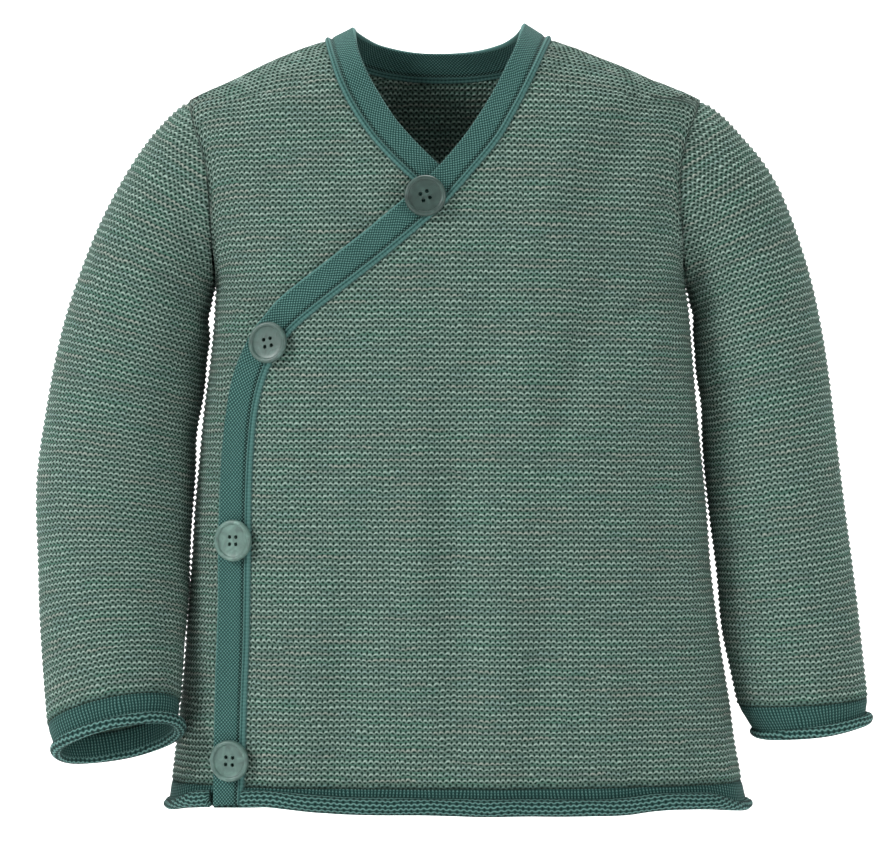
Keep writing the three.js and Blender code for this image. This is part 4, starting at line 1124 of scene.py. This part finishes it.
def seam_spread(start, end, count):
    """Places across from a band join to a side seam, closer where the body turns."""
    middle, half = middle_at(HEM_Z), half_at(HEM_Z)
    a = math.asin(np.clip((start - middle) / half, -1, 1))
    b = math.asin(np.clip((end - middle) / half, -1, 1))
    return middle + half * np.sin(np.linspace(a, b, count))


ROLL_ENDS_X = -99.9
ROLL_FLAT_X = -98.7
HEM_LEFT_START = curve_at(LEFT_EDGE, "join_z", np.array([HEM_Z]), "join_x")[0] + SEAM_GAP
HEM_RIGHT_START = curve_at(RIGHT_EDGE, "join_z", np.array([HEM_Z]), "join_x")[0] - SEAM_GAP
SIDE_LEFT = middle_at(HEM_Z) + half_at(HEM_Z)
SIDE_RIGHT = middle_at(HEM_Z) - half_at(HEM_Z)
trim = edge_material("trim_teal")


def always_rolled(x):
    return 0 * x + 1


def rolled_where_seen(x):
    return 1 - smooth(x, ROLL_ENDS_X, ROLL_FLAT_X)


for name, node, side, lift, curl, x, flat in (
    ("hem_left_front_roll", "hem_left_front", FRONT, left_front_lift, always_rolled,
     seam_spread(HEM_LEFT_START, SIDE_LEFT, 150), (0.249, 0.021)),
    ("hem_right_front_roll", "hem_right_front", FRONT, no_lift, rolled_where_seen,
     seam_spread(HEM_RIGHT_START, SIDE_RIGHT, 190), (0.155, 0.021)),
    ("hem_back_roll", "hem_back", BACK, no_lift, always_rolled,
     seam_spread(SIDE_RIGHT, SIDE_LEFT, 180), (0.302, 0.021)),
):
    hem = closed_wall(name, *hem_grid(side, x, lift, curl), trim)
    area = 0.0019 if node == "hem_right_front" else None
    cloth(hem, node, [node.replace("hem_", "")])

# The cuffs: the same strip knitted on round each wrist, flat for about a centimetre and
# then rolled outward. Each is pulled over on one side, which turn counts round like the
# sleeve's creases, and the right one tips forward, so its open mouth shows.
CUFF_RADIUS = 2.8
CUFF_AROUND = 150
for name, node, rings, creases, strip, short, pulled, lean, drawn, tight, seed in (
    ("cuff_right_roll", "cuff_right", RIGHT_SLEEVE, RIGHT_CREASES, 10.4, 10.4, 0, 0.28, 0, 2.2, 41),
    ("cuff_left_roll", "cuff_left", LEFT_SLEEVE, LEFT_CREASES, 12.4, 9.4, 180, 0.4, 0.25, 2.0, 43),
):
    turn = np.linspace(0, 2 * np.pi, CUFF_AROUND + 1)
    pull = (1 + np.cos(turn - math.radians(pulled))) / 2
    end = np.full(len(turn), float(SLEEVE_END))
    edge = sleeve_point(rings, creases, end, turn)
    normal = sleeve_normal(rings, creases, end, turn)
    down = edge - sleeve_point(rings, creases, end - 0.3, turn)
    down = down - normal * (down * normal).sum(-1, keepdims=True)
    down = unit(down)
    down[:, 0] += lean * pull - drawn * (1 - pull)
    run = run_along(edge)
    sway = sum(np.sin(k * turn + seed * k) / k for k in (2, 3, 5))
    grids = strip_grid(edge, normal, down, lerp(short, strip, pull) + 0.35 * sway,
                       lerp(CUFF_RADIUS, tight, pull) + 0.12 * sway, always_rolled(turn), run)
    cuff = closed_wall(name, *[grid.swapaxes(0, 1) for grid in grids], trim, wrap=True)
    cloth(cuff, node, [node.replace("cuff_", "") + "_sleeve"])

# The buttons: four four-hole buttons 17.8 mm across, turned from pearly grey-green plastic
# with a raised rim and a flat middle. Each is sewn to the band through its four holes.
HOLE_RADIUS = 0.85
HOLE_SPREAD = 1.55
BUTTON_REST = 1.2
# Each button's shell colour is the one grey-green plastic with painted light and shade laid in: the
# top button darkest, the third lightest.
BUTTONS = [
    dict(name="button_1", x=-8.4, z=-70.4, turn=25, shell_and_painted_light=rgb(46, 65, 60)),
    dict(name="button_2", x=-73.2, z=-132.4, turn=12, shell_and_painted_light=rgb(60, 82, 76)),
    dict(name="button_3", x=-87.8, z=-216.6, turn=0, shell_and_painted_light=rgb(82, 108, 100)),
    dict(name="button_4", x=-90.1, z=-310.8, turn=-3, shell_and_painted_light=rgb(72, 97, 90)),
]
BUTTON_PROFILE = [
    (0, 0.15), (5.5, 0.15), (7.4, 0.0), (8.3, 0.45), (8.8, 1.1), (8.9, 1.6), (8.8, 2.3),
    (8.55, 2.75), (8.2, 2.98), (7.8, 3.05), (7.4, 2.98), (7.1, 2.8), (6.92, 2.45),
    (6.8, 2.15), (6.5, 2.05), (5.0, 1.98), (3.6, 1.95), (0, 1.93),
]


def pearl_material(name, shell_and_painted_light):
    """Pearly plastic: cloudy swirls of paler and deeper tone."""
    material, shade = shader(name)
    place = shade.node("TexCoord", None, None, 3)
    stretched = shade.node("Mapping", None, {"Vector": place, "Scale": (150.0, 420.0, 150.0)})
    bent = shade.node("TexNoise", None, {"Vector": stretched, "Scale": 1.0, "Detail": 4.0,
                                         "Distortion": 1.6})
    grain = shade.node("TexNoise", None, {"Vector": place, "Scale": 900.0, "Detail": 2.0})
    pale = tuple(min(1, c * 1.55) for c in shell_and_painted_light[:3]) + (1,)
    deep = tuple(c * 0.62 for c in shell_and_painted_light[:3]) + (1,)
    colour = bent.between(0.25, 0.52).mixed(deep, shell_and_painted_light)
    colour = (bent.between(0.5, 0.72) * 0.8).mixed(colour, pale)
    normal = shade.node("Bump", None, {"Height": grain, "Strength": 0.06, "Distance": 0.1 * MM})
    body = shade.node("BsdfPrincipled", None, {
        "Base Color": colour, "Roughness": 0.42, "Normal": normal,
        "Specular IOR Level": 0.4, "Coat Weight": 0.12, "Coat Roughness": 0.3,
    })
    shade.node("OutputMaterial", None, {"Surface": body})
    return material


def lathe(name, profile, segments, material):
    points, faces = [], []
    for r, h in profile:
        count = 1 if r == 0 else segments
        points.append([(r * math.cos(2 * math.pi * i / segments),
                        r * math.sin(2 * math.pi * i / segments), h) for i in range(count)])
    starts = np.cumsum([0] + [len(p) for p in points])
    for k in range(len(points) - 1):
        a, b = points[k], points[k + 1]
        for i in range(segments):
            j = (i + 1) % segments
            low = [starts[k] + (0 if len(a) == 1 else n) for n in (i, j)]
            high = [starts[k + 1] + (0 if len(b) == 1 else n) for n in (i, j)]
            face = [low[0], low[1], high[1], high[0]]
            faces.append(list(dict.fromkeys(int(v) for v in face)))
    mesh = bpy.data.meshes.new(name)
    mesh.from_pydata([tuple(c * MM for c in p) for ring in points for p in ring], [], faces)
    mesh.materials.append(material)
    made = bpy.data.objects.new(name, mesh)
    bpy.context.collection.objects.link(made)
    return made


def cut_holes(button):
    """Cuts the four holes and keeps the result as the button's own mesh."""
    for sx in (-1, 1):
        for sy in (-1, 1):
            drill = lathe("drill", [(0, -1), (HOLE_RADIUS, -1), (HOLE_RADIUS, 5), (0, 5)], 24,
                          button.data.materials[0])
            drill.data.transform(Matrix.Translation((sx * HOLE_SPREAD * MM, sy * HOLE_SPREAD * MM, 0)))
            cut = button.modifiers.new("hole", "BOOLEAN")
            cut.operation = "DIFFERENCE"
            cut.solver = "EXACT"
            cut.object = drill
            bpy.context.view_layer.update()
            done = button.evaluated_get(bpy.context.evaluated_depsgraph_get())
            button.data = bpy.data.meshes.new_from_object(done)
            button.modifiers.clear()
            bpy.data.objects.remove(drill)


for spec in BUTTONS:
    x, z = np.array([spec["x"]]), np.array([spec["z"]])
    normal = body_normal(FRONT, x, z)[0]
    lift = left_front_lift(x, z) - crease_depth(FRONT, x, z) + BUTTON_REST
    place = body_point(FRONT, x, z, lift)[0]
    up = np.array([0, 0, 1.0]) - normal * normal[2]
    up = up / np.linalg.norm(up)
    right = np.cross(up, normal)
    spin = math.radians(spec["turn"])
    turned_right = right * math.cos(spin) + up * math.sin(spin)
    turned_up = up * math.cos(spin) - right * math.sin(spin)
    frame_matrix = [[turned_right[i], turned_up[i], normal[i], place[i] * MM] for i in range(3)]
    frame_matrix.append([0, 0, 0, 1])
    button = lathe(spec["name"] + "_pearl", BUTTON_PROFILE, 96,
                   pearl_material(spec["name"] + "_pearl", spec["shell_and_painted_light"]))
    cut_holes(button)
    button.data.polygons.foreach_set("use_smooth", [True] * len(button.data.polygons))
    button.data.set_sharp_from_angle(angle=math.radians(42))
    button.data.transform(Matrix(frame_matrix))
    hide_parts(spec["name"])
    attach(button, "root")
